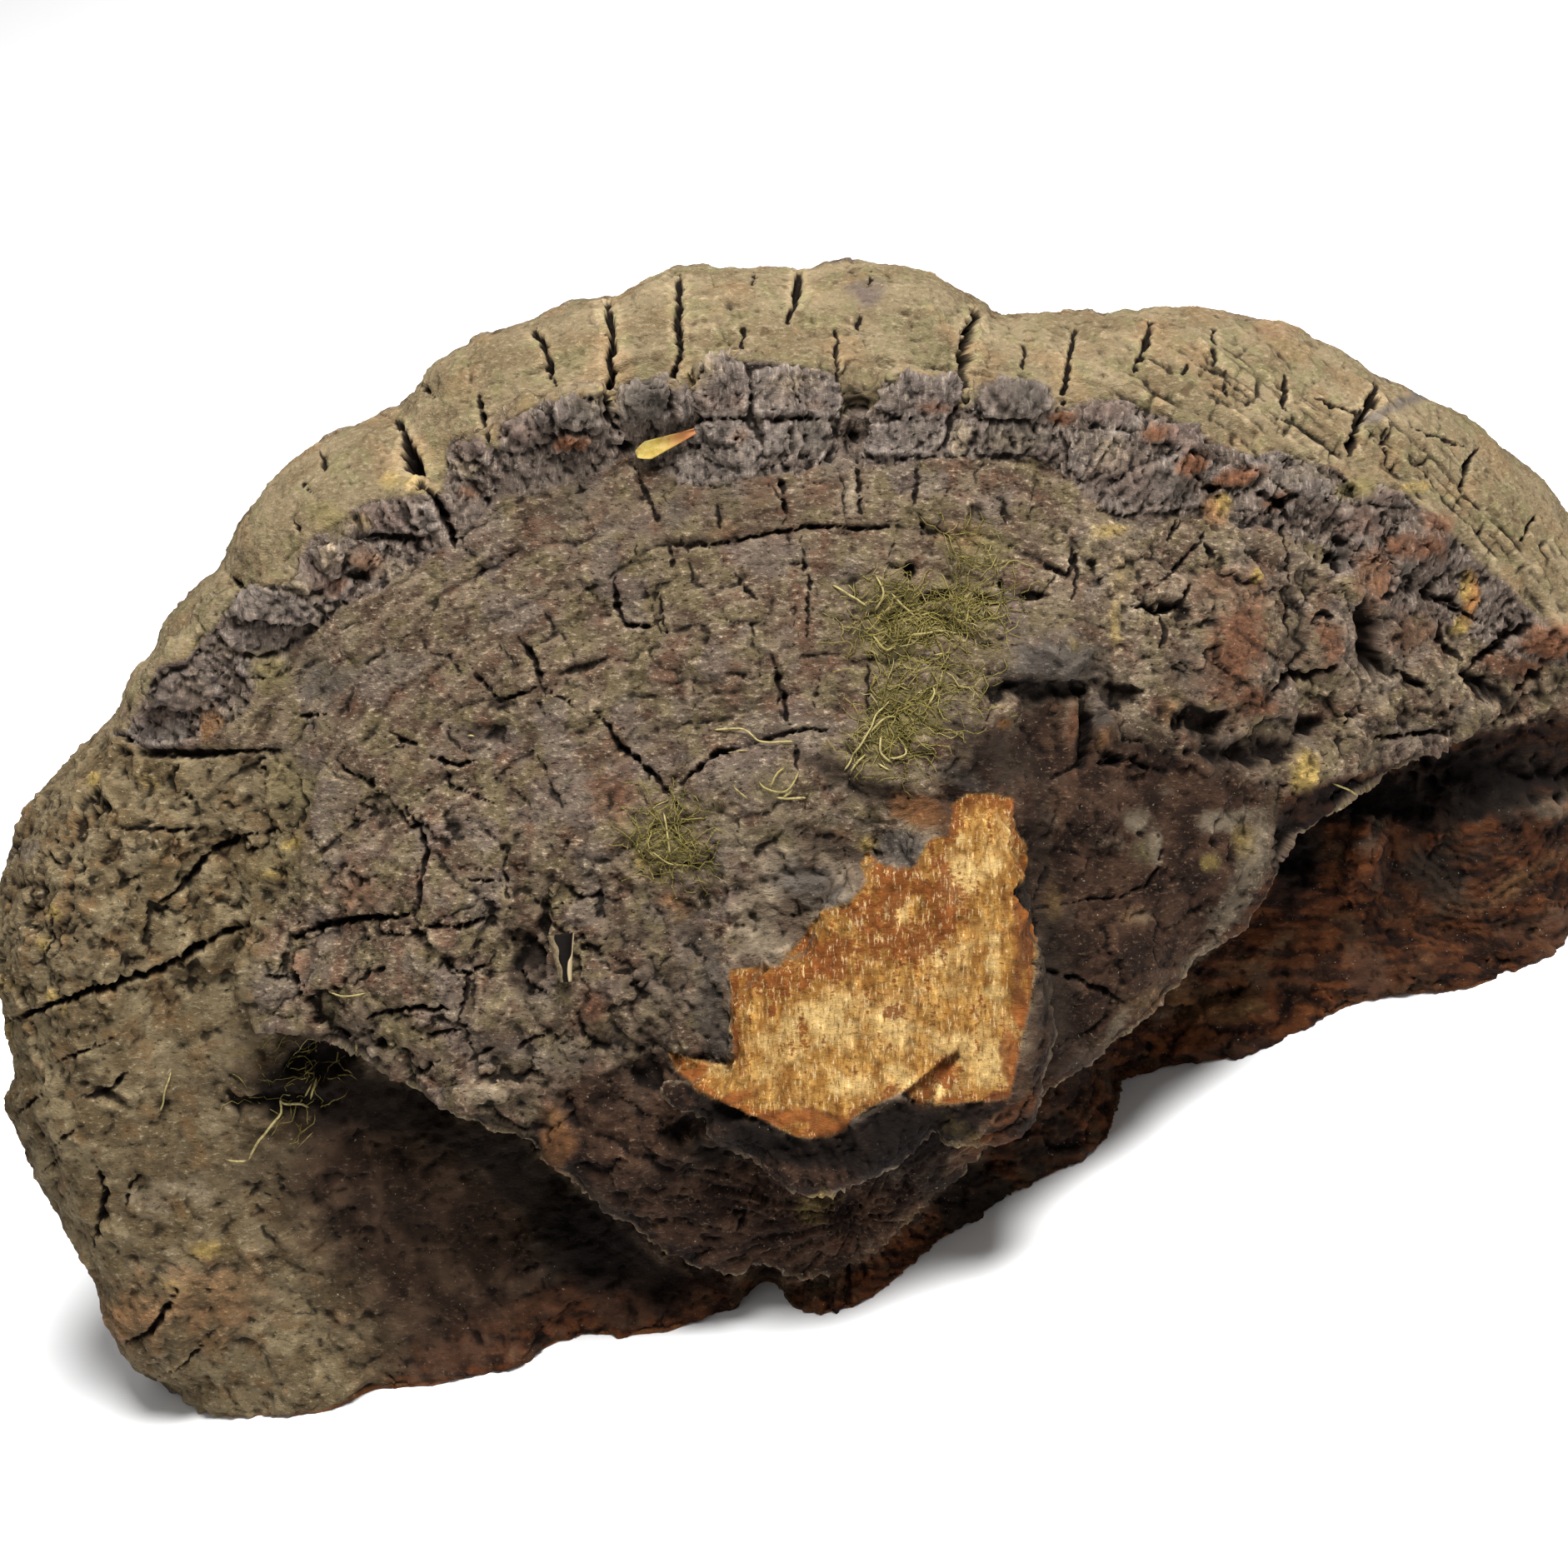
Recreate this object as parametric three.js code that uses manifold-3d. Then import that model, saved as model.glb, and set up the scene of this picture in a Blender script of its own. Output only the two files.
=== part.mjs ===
// A willow bracket, the woody shelf fungus of old willows. It was cut flat where it grew on the trunk and
// stands on that cut.
// Millimetres. +Z runs from the cut out to the growing margin, the weathered cap faces -Y and the pores +Y.
// The origin is on the cut, below the middle of the fan.
import * as THREE from "three";
import { mergeVertices } from "three/addons/utils/BufferGeometryUtils.js";
import Module from "manifold-3d";

const wasm = await Module();
wasm.setup();

// Driving dimensions
const UMBO = { x: 3, z: 44 }; // where growth began: cracks and ridges run out from here
const LIP = { y: 34, front: 17, back: 10, inFront: 14, inBack: 11 }; // the thick rounded margin of the fan
// How far the margin bends forward towards its left and right ends.
const LIP_BEND = { halfWidth: 105, left: 17, power: 2.3, atCut: 3, cutTop: 50, right: 6 };
// The pore surface behind it, which bends the same way and swells in its middle.
const PORES = { y: 44, left: 10, right: 3, swell: 2, swellReach: 90, middle: 40 };
const WING = { from: 20, to: 110 }; // the bend at each wing starts and ends this far from the middle
const TRUNK_SIDE = -24; // growth is shaped down to this level, then cut off at z = 0
const CRUST = 3; // thickness of the old cap at its broken edge
const GAP = 0.3; // between the bracket and what lies on it
const BROKEN_FACE_LEAN = THREE.MathUtils.degToRad(25); // the torn face leans back from the vertical
const BROKEN_SLAB = { thick: 16, chamfer: 1.2, proud: { x: 2, y: -24.5, z: 41 } }; // proud is on its face

// Outline of the newest growth. Each entry is a notch between two lobes, and how far the next lobe swells.
const MARGIN = [
  [103, TRUNK_SIDE, 16],
  [90, 68.5, 1.6],
  [80.5, 79, 2.2],
  [43, 94, 3.4],
  [23, 108, 2],
  [-1, 112.5, 3.3],
  [-29.5, 107.5, 5.2],
  [-56, 97, 2],
  [-76, 83.5, 7],
  [-101.5, 55, 7],
  [-93, TRUNK_SIDE, 0],
];

// Outline of the old cap. It hangs over the new growth at both sides, and its foot narrows to a knob.
const OLD_CAP = [
  [-71, 85], [-64, 93], [-55.5, 98.6], [-48.8, 99.6], [-39.3, 102], [-31.5, 103.5], [-20, 106],
  [-8, 106], [1, 104.5], [14, 103], [30, 97], [40, 91.5], [50, 84.5], [60, 77], [67, 72.5], [79, 63],
  [86, 57], [92, 46], [100, 35], [98, 30.5], [81, 32], [75, 32.5], [64, 35], [58, 32], [53.5, 28.5],
  [46, 24], [36, 22.5], [28, 20.5], [16, 17], [8, 13], [0.5, 9.5], [-6.5, 6], [-13.5, 4.5], [-20.5, 7],
  [-29.5, 11.5], [-34.5, 18], [-39, 26], [-43, 33.5], [-50, 38], [-56, 43.5], [-62, 50], [-71, 54],
  [-69, 62], [-63, 68], [-60, 76],
];

// Marks on the face of the old cap: x, z and the depth y found there.
const CAP_MARKS = [
  [-66, 89, 15], [-50, 96, 15], [-36, 100, 15], [-18, 103, 16], [0, 103, 15], [15, 100, 15],
  [30, 94, 13], [45, 86, 12], [60, 75, 12], [76, 64, 12], [88, 50, 13], [96, 33, 13], [-58, 80, 8],
  [-38, 90, 8], [-15, 92, 8], [8, 90, 7], [28, 82, 5], [45, 74, 3], [62, 64, 5], [80, 45, 9],
  [-58, 66, 3], [-42, 74, 1], [-22, 76, 0], [2, 76, -1], [18, 74, 1], [34, 68, -3], [48, 60, -4],
  [66, 48, 1], [-66, 56, -2], [-52, 52, -9], [-38, 58, -8], [-20, 60, -8], [-2, 62, -11], [16, 62, -12],
  [-42, 40, -14], [-28, 44, -15], [-16, 34, -21], [-30, 24, -19], [-24, 14, -21], [-8, 12, -22],
  [4, 20, -22], [16, 26, -20], [28, 30, -17], [40, 32, -12], [50, 36, -8], [60, 38, -3], [75, 36, 4],
  [26, 52, -15], [44, 46, -9],
];

// Lumps of the cap as x, z, half width, half height and how far they stand out. A pit stands out by less
// than nothing.
const CAP_LUMPS = [
  [36, 67, 8, 3.5, 3], [34, 59, 6, 4, -5], [56, 56, 6, 6, 2.5], [62, 43, 4, 3.5, -4],
  [46, 50, 5, 3, -3], [77, 55, 6, 5, 2], [-52, 66, 8, 7, 2], [-50, 51, 8, 5, 2.5],
  [-34, 55, 3.5, 3.5, -4], [-46, 41, 5, 4, 2], [50, 38, 7, 5, 2], [-30, 30, 5, 4, 2],
  [-40, 31, 4, 4, 3], [-14, 72, 9, 4, -1.5], [22, 95, 3, 5, -5], [30, 30, 7, 7, 2],
];

// Marks on the face of the new growth where the old cap leaves it bare, and under the overhangs.
const GROWTH_MARKS = [
  [-91, 0, 0], [-82, 0, -4], [-69, 0, -5], [-54, 0, -7], [-46, 0, -8], [-40, 0, -11], [-33, 0, -14],
  [-26, 0, -10], [-21, 0, -11], [-17, 0, -21], [-10, 0, -23], [-3, 0, -18], [6, 0, -12], [16, 0, -9],
  [23, 0, -5], [29, 0, 6], [46, 0, 6], [60, 0, 7], [68, 0, 3], [78, 0, 2], [88, 0, 2], [97, 0, 6],
  [-80, 22, -1], [-62, 20, -1], [-44, 18, 0], [-92, 36, 3], [-74, 38, 0], [-56, 36, 4], [-30, 10, -8],
  [-12, 8, -14], [-86, 56, 7], [-74, 62, 5], [-80, 72, 13], [8, 10, -6], [34, 12, 9], [50, 16, 12],
  [70, 16, 12], [88, 14, 8], [70, 30, 15], [100, 24, 16], [0, 40, 6], [0, 80, 14],
];

// Layers bared round a hollow in the growth at the right.
const LEDGES = { x: 75, z: 22, height: 1.8, every: 5, reach: 25 };

// Cracks that split the margin: angle about the umbo in degrees, how far they run in from the rim, width
// and depth.
const MARGIN_CRACKS = [
  [115.6, 30, 1.5, 5], [108, 10, 0.8, 2], [100.5, 12, 1, 3], [93.5, 26, 1.4, 4], [86.5, 24, 1.1, 3],
  [79.5, 15, 0.8, 2], [74.5, 11, 1, 3], [66.5, 12, 0.7, 2], [55, 16, 2, 6], [44, 18, 1, 3],
  [38, 13, 1.3, 3], [32.5, 10, 1, 3], [18, 20, 1.8, 5], [8, 14, 1, 3], [133, 13, 1.2, 4],
  [148.5, 11, 1.2, 4], [170.8, 42, 1.6, 6], [179, 12, 1, 3], [190, 20, 1, 3],
];

// Cracks across the old cap: angle, distance from the umbo at each end, width, depth.
const CAP_CRACKS = [
  [97, 34, 62, 1, 2], [80, 30, 52, 1, 1.6], [118, 30, 60, 1, 2], [131, 24, 52, 1, 1.8],
  [64, 32, 50, 1, 1.6], [146, 30, 62, 1, 2], [167, 36, 62, 1.2, 2.4], [22, 40, 62, 1, 1.8],
];

// Plates of old crust left along the edge of the cap: angle, width, distance of the outer end, length.
// Each slopes down to its outer end.
const PLATES = [
  [83, 9.5, 64, 12], [74, 7.5, 62, 11], [63, 9, 61.5, 10.5], [52, 9.5, 63, 9], [45, 3.8, 62, 7],
  [41, 6.8, 65, 11], [35, 7.6, 67, 8.5], [29.5, 6.5, 69, 7], [24, 7.5, 72.5, 7], [19, 5.5, 75, 4.5],
  [14, 5.5, 80.5, 6], [9, 6.5, 83, 5], [92.5, 6, 65, 5], [100, 7.6, 68, 9], [105.5, 4.2, 69.5, 8],
  [110.5, 5.6, 69, 6], [120, 9, 71, 6], [126.5, 5.5, 74.5, 5], [133.5, 6.5, 78, 5],
  [137.5, 6.5, 82.5, 6], [143.5, 8.4, 86, 6.5],
];
const PLATE = { thick: 4, proud: 1.3, ragged: 0.45, steepest: 0.5, hang: 0.15 };

// Outline of the face torn when the bracket was pulled away: along X and up the leaning face, from proud.
const BROKEN_OUTLINE = [
  [-15, 5], [-10, 8], [-6, 6.5], [1, 14.5], [9.5, 14], [10, 17.5], [19.5, 16], [20, 9], [18, 2],
  [19, -3], [17, -10], [11, -19.5], [3, -18], [5, -13.5], [-2, -16], [-8, -17.5], [-12, -18.5],
  [-15, -17], [-21.5, -10.5], [-26.5, -2], [-19.5, -3.5],
];

// Web of wood that ties the right overhang to the growth behind it.
const WEB = { x: 66, y: 10, z: 17, wide: 3, deep: 6, tall: 11 };

// Moss cushions: outline in x and z, and how far the tips stand out from what they grow on.
const MOSS_TUFT = { outline: [[10, 84], [26, 84], [38, 70], [30, 58], [16, 56], [12, 66]], stands: 2.6 };
const MOSS_PATCH = { outline: [[-20, 66], [-13, 67], [-9, 60], [-13, 56], [-20, 58]], stands: 1.6 };
const MOSS_WISP = {
  outline: [[-76, 47], [-67, 49], [-63, 43], [-68, 37], [-74, 33], [-77, 40]],
  stands: 3,
};

// Litter caught on the cap: centre, half sizes and lean. A willow bud scale, and a split seed husk.
const BUD_SCALE = { at: [0, 13.6, 101], half: [3.6, 0.7, 1.5], lean: 0.15 };
const HUSK = { at: [-31.4, -11.5, 53.8], half: [0.9, 0.8, 2.4], lean: 0.1 };

const RIPPLE = { height: 0.8, every: 13 }; // yearly ridges of the old cap
const BLOCKS = { height: 0.5, around: 9, out: 6.5 }; // low blocks that the ridges and cracks divide it into
const CAP_POLISH = 7; // how widely one mark on the cap rounds off
const GROWTH_POLISH = 4; // the same on the new growth
const CRACK_EASE = { inner: 4, outer: 3, full: 1 }; // a crack fades over these lengths at its two ends
const CRACK_NOTCH = 0.5; // the share of its depth by which a crack notches the rim
const LIP_EASE = { from: 26, to: 8 }; // how far in from the rim the lip's roundness starts and ends
const PORE_EASE = { from: 4, to: 40 }; // the same for the pore surface
const RAGGED_WAVE = { plate: 7, x: 1.9, y: 2.3, z: 1.7 }; // how the corners of the plates stray
const CUSHION_DOME = 0.7; // share of a cushion's height that is lost at its rim
const WIDEST_COLUMN = 1.5; // columns of a fan are split where they are this many times their spacing
const SAME_ANGLE = 1e-6;
const SAME_PLACE = 1e-4;

const smooth = (a, b, t) => {
  const k = THREE.MathUtils.clamp((t - a) / (b - a), 0, 1);
  return k * k * (3 - 2 * k);
};

// Depth at a place, blended from the marks around it.
function depthFrom(marks, polish, x, z) {
  let sum = 0;
  let weight = 0;
  for (const [mx, mz, my] of marks) {
    const w = 1 / ((x - mx) ** 2 + (z - mz) ** 2 + polish ** 2) ** 2;
    sum += w * my;
    weight += w;
  }
  return sum / weight;
}

// Face of the old cap, with its ridges, blocks, lumps and pits.
function capDepth(x, z) {
  const distance = Math.hypot(x - UMBO.x, z - UMBO.z);
  const angle = Math.atan2(z - UMBO.z, x - UMBO.x);
  const ridged = smooth(20, 40, distance);
  let y = depthFrom(CAP_MARKS, CAP_POLISH, x, z);
  y += RIPPLE.height * ridged * Math.sin((2 * Math.PI * distance) / RIPPLE.every);
  y += BLOCKS.height * ridged * Math.sin(angle * BLOCKS.around) * Math.sin(distance / BLOCKS.out);
  for (const [lx, lz, wide, tall, out] of CAP_LUMPS) {
    y -= out * Math.exp(-(((x - lx) / wide) ** 2) - ((z - lz) / tall) ** 2);
  }
  return y;
}

// Steps of bared layers that curve under the hollow at the right.
function ledge(x, z) {
  const d = Math.hypot(x - LEDGES.x, z - LEDGES.z);
  const shown = smooth(LEDGES.reach, LEDGES.reach - LEDGES.every, d) * smooth(0, LEDGES.every, d);
  return -LEDGES.height * shown * ((d / LEDGES.every) % 1);
}

const growthDepth = (x, z) => depthFrom(GROWTH_MARKS, GROWTH_POLISH, x, z) + ledge(x, z);

// Depth of the pore surface away from the margin.
function poreDepth(x, z) {
  const left = PORES.left * smooth(WING.from, WING.to, -x);
  const right = PORES.right * smooth(WING.from, WING.to, x);
  const swell = PORES.swell * smooth(PORES.swellReach, 0, Math.hypot(x, z - PORES.middle));
  return PORES.y - left - right + swell;
}

// Depth of the middle of the margin. The left wing bends round towards the trunk, more so near the cut.
function lipDepth(x, z) {
  const share = Math.max(0, -x) / LIP_BEND.halfWidth;
  const left = LIP_BEND.left * share ** LIP_BEND.power;
  const atCut = LIP_BEND.atCut * share * smooth(LIP_BEND.cutTop, 0, z);
  return LIP.y - left - atCut - LIP_BEND.right * smooth(WING.from, WING.to, x);
}

// The outline with each lobe swollen into an arc.
function lobed(outline) {
  const STEPS = 10;
  return outline.flatMap(([x, z, swell], i) => {
    const [nx, nz] = outline[(i + 1) % outline.length];
    const along = new THREE.Vector2(nx - x, nz - z);
    const out = new THREE.Vector2(along.y, -along.x).normalize();
    return Array.from({ length: swell ? STEPS : 1 }, (_, k) => {
      const t = k / STEPS;
      const lift = 4 * swell * t * (1 - t);
      return [x + along.x * t + out.x * lift, z + along.y * t + out.y * lift];
    });
  });
}

// Distance from a centre to an outline at an angle.
function reach(outline, centre, angle) {
  const dx = Math.cos(angle);
  const dz = Math.sin(angle);
  let far = 0;
  outline.forEach(([x, z], i) => {
    const [nx, nz] = outline[(i + 1) % outline.length];
    const ax = x - centre.x;
    const az = z - centre.z;
    const cross = dx * (nz - z) - dz * (nx - x);
    const along = (ax * (nz - z) - az * (nx - x)) / cross;
    const share = (ax * dz - az * dx) / cross;
    if (along > 0 && share >= 0 && share <= 1) far = Math.max(far, along);
  });
  return far;
}

// Angles for the columns of a fan: three close together at each crack, and the rest spread between them.
function columnsFor(cracks, radius, spacingAt) {
  const marks = cracks.flatMap(([angle, , , width]) => {
    const centre = THREE.MathUtils.degToRad(angle);
    const half = width / 2 / radius;
    return [centre - half, centre, centre + half];
  });
  marks.sort((a, b) => a - b);
  const columns = [];
  marks.forEach((from, i) => {
    const to = i + 1 < marks.length ? marks[i + 1] : marks[0] + 2 * Math.PI;
    columns.push(from);
    let at = from;
    while (to - at > WIDEST_COLUMN * spacingAt(at)) {
      at += Math.min(spacingAt(at), (to - at) / 2);
      columns.push(at);
    }
  });
  return columns;
}

// How deep the cracks cut at an angle and a distance from the umbo. Only a crack's middle column is cut.
function crackDepth(cracks, angle, distance) {
  let depth = 0;
  for (const [degrees, from, to, , deep] of cracks) {
    const off = (angle - THREE.MathUtils.degToRad(degrees)) % (2 * Math.PI);
    if (Math.abs(off) > SAME_ANGLE) continue;
    const begun = smooth(from - CRACK_EASE.inner, from + CRACK_EASE.inner, distance);
    const left = smooth(to + CRACK_EASE.outer, to - CRACK_EASE.full, distance);
    depth = Math.max(depth, deep * begun * left);
  }
  return depth;
}

// A closed solid turned about an axis along Y, its rings pulled out of round by place(angle, ring).
function fan(columns, rings, place) {
  const profile = Array.from({ length: rings }, (_, i) => new THREE.Vector2(1, i));
  profile[0].x = 0;
  profile[rings - 1].x = 0;
  const geometry = new THREE.LatheGeometry(profile, columns.length);
  const at = geometry.getAttribute("position");
  for (let column = 0; column <= columns.length; column++) {
    for (let ring = 0; ring < rings; ring++) {
      const pole = ring === 0 || ring === rings - 1;
      const p = place(columns[pole ? 0 : column % columns.length], ring);
      at.setXYZ(column * rings + ring, p.x, p.y, p.z);
    }
  }
  return solidOf(geometry);
}

function solidOf(geometry) {
  geometry.deleteAttribute("normal");
  geometry.deleteAttribute("uv");
  const merged = mergeVertices(geometry, SAME_PLACE);
  const vertProperties = merged.attributes.position.array;
  const triVerts = new Uint32Array(merged.index.array);
  const made = new wasm.Manifold(new wasm.Mesh({ numProp: 3, vertProperties, triVerts }));
  if (made.volume() > 0) return made;
  for (let i = 0; i < triVerts.length; i += 3) triVerts.subarray(i, i + 2).reverse();
  return new wasm.Manifold(new wasm.Mesh({ numProp: 3, vertProperties, triVerts }));
}

function around(centre, angle, distance, y) {
  return new THREE.Vector3(centre.x + Math.cos(angle) * distance, y, centre.z + Math.sin(angle) * distance);
}

// The newest growth: the whole fan with its thick lip and the pore surface behind.
function newGrowth() {
  const outline = lobed(MARGIN);
  const RADIUS = 95;
  const MARGIN_SPACING = 4.6 / RADIUS;
  const CUT_SPACING = 6 / UMBO.z;
  const cracks = MARGIN_CRACKS.map(([angle, run, width, depth]) => {
    const r = reach(outline, UMBO, THREE.MathUtils.degToRad(angle));
    return [angle, r - run, r + LIP.back, width, depth];
  });
  const towardsCut = (angle) => Math.sin(angle) * RADIUS < -UMBO.z;
  const columns = columnsFor(cracks, RADIUS, (angle) => (towardsCut(angle) ? CUT_SPACING : MARGIN_SPACING));
  const FACE = [0, 0.3, 0.45, 0.55, 0.64, 0.72, 0.8];
  const LIP_FRONT = [1, 0.72, 0.47, 0.26, 0.11, 0.02];
  const LIP_BACK = [0, 0.12, 0.4, 0.8];
  const BACK = [0.7, 0.35, 0];
  const front = FACE.length + LIP_FRONT.length;
  return fan(columns, front + LIP_BACK.length + BACK.length, (angle, ring) => {
    const r = reach(outline, UMBO, angle);
    const rim = around(UMBO, angle, r, 0);
    const lip = lipDepth(rim.x, rim.z);
    const margin = smooth(TRUNK_SIDE, TRUNK_SIDE / 3, rim.z);
    if (ring < front) {
      const onFace = ring < FACE.length;
      const distance = onFace ? FACE[ring] * r : r - LIP_FRONT[ring - FACE.length] * LIP.inFront;
      const p = around(UMBO, angle, distance, 0);
      const inward = Math.min(1, (r - distance) / LIP.inFront);
      const round = Math.sqrt(1 - (1 - inward) ** 2);
      const bare = growthDepth(p.x, p.z);
      const onLip = margin * smooth(LIP_EASE.from, LIP_EASE.to, r - distance);
      const under = THREE.MathUtils.lerp(bare, lip - LIP.front, onLip);
      const crack = crackDepth(cracks, angle, distance);
      const y = THREE.MathUtils.lerp(bare, lip + (under - lip) * round, margin) + crack;
      return around(UMBO, angle, distance - CRACK_NOTCH * crack * (1 - round), y);
    }
    const i = ring - front;
    const onBack = i >= LIP_BACK.length;
    const distance = onBack ? BACK[i - LIP_BACK.length] * r : r - LIP_BACK[i] * LIP.inBack;
    const p = around(UMBO, angle, distance, 0);
    const round = Math.sqrt(1 - (1 - Math.min(1, (r - distance) / LIP.inBack)) ** 2);
    const flat = smooth(PORE_EASE.from, PORE_EASE.to, r - distance);
    const y = THREE.MathUtils.lerp(lip + LIP.back * round, poreDepth(p.x, p.z), flat);
    const crack = i === 0 ? crackDepth(cracks, angle, distance) : 0;
    return around(UMBO, angle, distance - CRACK_NOTCH * crack, y);
  });
}

// The old cap: a hard crust, hanging over the new growth at both sides.
function oldCap() {
  const RADIUS = 60;
  const SPACING = 4.2 / RADIUS;
  const columns = columnsFor(CAP_CRACKS, RADIUS, () => SPACING);
  const FRONT = [0, 0.2, 0.33, 0.45, 0.56, 0.66, 0.75, 0.83, 0.9, 0.96];
  // Share of the way to the outline, and depth behind the face, down the edge and back under it.
  const EDGE = [[1, 1.2], [1, CRUST], [0.93, 7], [0.82, 13], [0.5, 22], [0, 26]];
  return fan(columns, FRONT.length + EDGE.length, (angle, ring) => {
    const r = reach(OLD_CAP, UMBO, angle);
    const [share, back] = ring < FRONT.length ? [FRONT[ring], 0] : EDGE[ring - FRONT.length];
    const distance = share * r;
    const p = around(UMBO, angle, distance, 0);
    const cut = ring < FRONT.length ? crackDepth(CAP_CRACKS, angle, distance) : 0;
    p.y = capDepth(p.x, p.z) + back + cut;
    return p;
  });
}

// One plate of crust, its corners ragged, lying along the slope of the cap at its place.
function plate([degrees, width, outer, length], index) {
  const angle = THREE.MathUtils.degToRad(degrees);
  const geometry = new THREE.BoxGeometry(width, PLATE.thick, length, 2, 1, 2);
  const at = geometry.getAttribute("position");
  const middle = around(UMBO, angle, outer - length / 2, 0);
  const inner = around(UMBO, angle, outer - length, 0);
  const rise = (2 * (capDepth(middle.x, middle.z) - capDepth(inner.x, inner.z))) / length;
  const slope = THREE.MathUtils.clamp(rise, 0, PLATE.steepest) - PLATE.hang;
  for (let i = 0; i < at.count; i++) {
    const place = new THREE.Vector3().fromBufferAttribute(at, i);
    const { plate: number, x, y, z } = RAGGED_WAVE;
    const wave = index * number + place.x * x + place.y * y + place.z * z;
    place.x += PLATE.ragged * Math.sin(wave);
    place.z += PLATE.ragged * Math.sin(wave * 1.6);
    place.y += place.z * slope + PLATE.ragged * Math.sin(wave * 2.3);
    at.setXYZ(i, place.x, place.y, place.z);
  }
  geometry.rotateY(Math.PI / 2 - angle);
  geometry.translate(middle.x, capDepth(middle.x, middle.z) - PLATE.proud + PLATE.thick / 2, middle.z);
  return solidOf(geometry);
}

// The stub torn from the trunk, with its flat pale face.
function brokenSlab() {
  const { thick, chamfer, proud } = BROKEN_SLAB;
  const shape = new THREE.Shape(BROKEN_OUTLINE.map(([x, up]) => new THREE.Vector2(x, up)));
  const bevel = { bevelEnabled: true, bevelSegments: 1, bevelThickness: 2 * chamfer, bevelSize: chamfer };
  const geometry = new THREE.ExtrudeGeometry(shape, { depth: thick, ...bevel });
  geometry.translate(0, 0, -thick - bevel.bevelThickness);
  geometry.rotateX(Math.PI / 2 - BROKEN_FACE_LEAN);
  geometry.translate(proud.x, proud.y, proud.z);
  return solidOf(geometry);
}

// A stretched ball, for the web and for the litter.
function ball(at, half, lean) {
  const geometry = new THREE.SphereGeometry(1, 8, 5);
  geometry.scale(...half);
  geometry.rotateY(lean);
  geometry.translate(...at);
  return solidOf(geometry);
}

// Everything past the trunk side of the cut.
function pastTheCut() {
  const size = 300;
  const geometry = new THREE.BoxGeometry(size, size, size);
  geometry.translate(0, 0, -size / 2);
  return solidOf(geometry);
}

// A low cushion over an outline, from the height of its tips to well below the surface that depthAt gives.
function cushion({ outline, stands }, depthAt) {
  const centre = {
    x: outline.reduce((sum, [x]) => sum + x, 0) / outline.length,
    z: outline.reduce((sum, [, z]) => sum + z, 0) / outline.length,
  };
  const COLUMNS = 12;
  const columns = Array.from({ length: COLUMNS }, (_, i) => (2 * Math.PI * i) / COLUMNS);
  const SHARES = [0, 0.35, 0.65, 0.88, 1, 1, 0];
  const ROOTS = 5;
  return fan(columns, SHARES.length, (angle, ring) => {
    const share = SHARES[ring];
    const p = around(centre, angle, share * reach(outline, centre, angle), 0);
    const front = ring < SHARES.length - 2;
    p.y = depthAt(p.x, p.z) + (front ? -stands * (1 - CUSHION_DOME * share ** 2) : ROOTS);
    return p;
  });
}

const largest = (solid) => solid.decompose().reduce((a, b) => (b.volume() > a.volume() ? b : a));

function toMesh(solid, name, material) {
  const { numProp, vertProperties, triVerts } = solid.getMesh();
  const geometry = new THREE.BufferGeometry();
  const at = new THREE.InterleavedBuffer(vertProperties, numProp);
  geometry.setAttribute("position", new THREE.InterleavedBufferAttribute(at, 3, 0));
  geometry.setIndex(new THREE.BufferAttribute(triVerts, 1));
  geometry.computeVertexNormals();
  const mesh = new THREE.Mesh(geometry, material);
  mesh.name = name;
  return mesh;
}

const crust = new THREE.MeshStandardMaterial({ color: 0x5a4c3e, roughness: 0.92, metalness: 0 });
const moss = new THREE.MeshStandardMaterial({ color: 0x6d6a33, roughness: 0.95, metalness: 0 });
const dryScale = new THREE.MeshStandardMaterial({ color: 0xb98a34, roughness: 0.6, metalness: 0 });
const paleHusk = new THREE.MeshStandardMaterial({ color: 0xb9a48c, roughness: 0.7, metalness: 0 });

let grown = newGrowth().add(oldCap()).add(brokenSlab());
for (const solid of PLATES.map(plate)) grown = grown.add(solid);
grown = grown.add(ball([WEB.x, WEB.y, WEB.z], [WEB.wide, WEB.deep, WEB.tall], 0)).subtract(pastTheCut());
// Hollows that the old cap has closed over are solid wood in the real bracket, so only the outside is kept.
const bracketSolid = largest(grown);

// What lies on the bracket is cut to its surface, a gap off it.
const clear = bracketSolid.translate([0, -GAP, 0]);
const onBracket = (solid) => largest(solid.subtract(clear));

const bracket = new THREE.Group();
bracket.add(toMesh(bracketSolid, "bracket", crust));
bracket.add(toMesh(onBracket(cushion(MOSS_TUFT, capDepth)), "moss_tuft", moss));
bracket.add(toMesh(onBracket(cushion(MOSS_PATCH, capDepth)), "moss_patch", moss));
bracket.add(toMesh(onBracket(cushion(MOSS_WISP, growthDepth)), "moss_wisp", moss));
bracket.add(toMesh(onBracket(ball(BUD_SCALE.at, BUD_SCALE.half, BUD_SCALE.lean)), "bud_scale", dryScale));
bracket.add(toMesh(onBracket(ball(HUSK.at, HUSK.half, HUSK.lean)), "husk", paleHusk));

export default bracket;
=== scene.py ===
"""A willow bracket, the woody shelf fungus of old willows, cut off flat where it grew and standing on the cut.

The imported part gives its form. Here it gets its cracks, its broken crust, its torn pale flesh, its moss and its
colours. Sizes are in millimetres until a mesh is made. Marks read off the picture are in its pixels.
"""

import math

import bpy
import numpy as np
from mathutils import Matrix, Vector
from mathutils.bvhtree import BVHTree
from mathutils.kdtree import KDTree


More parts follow.
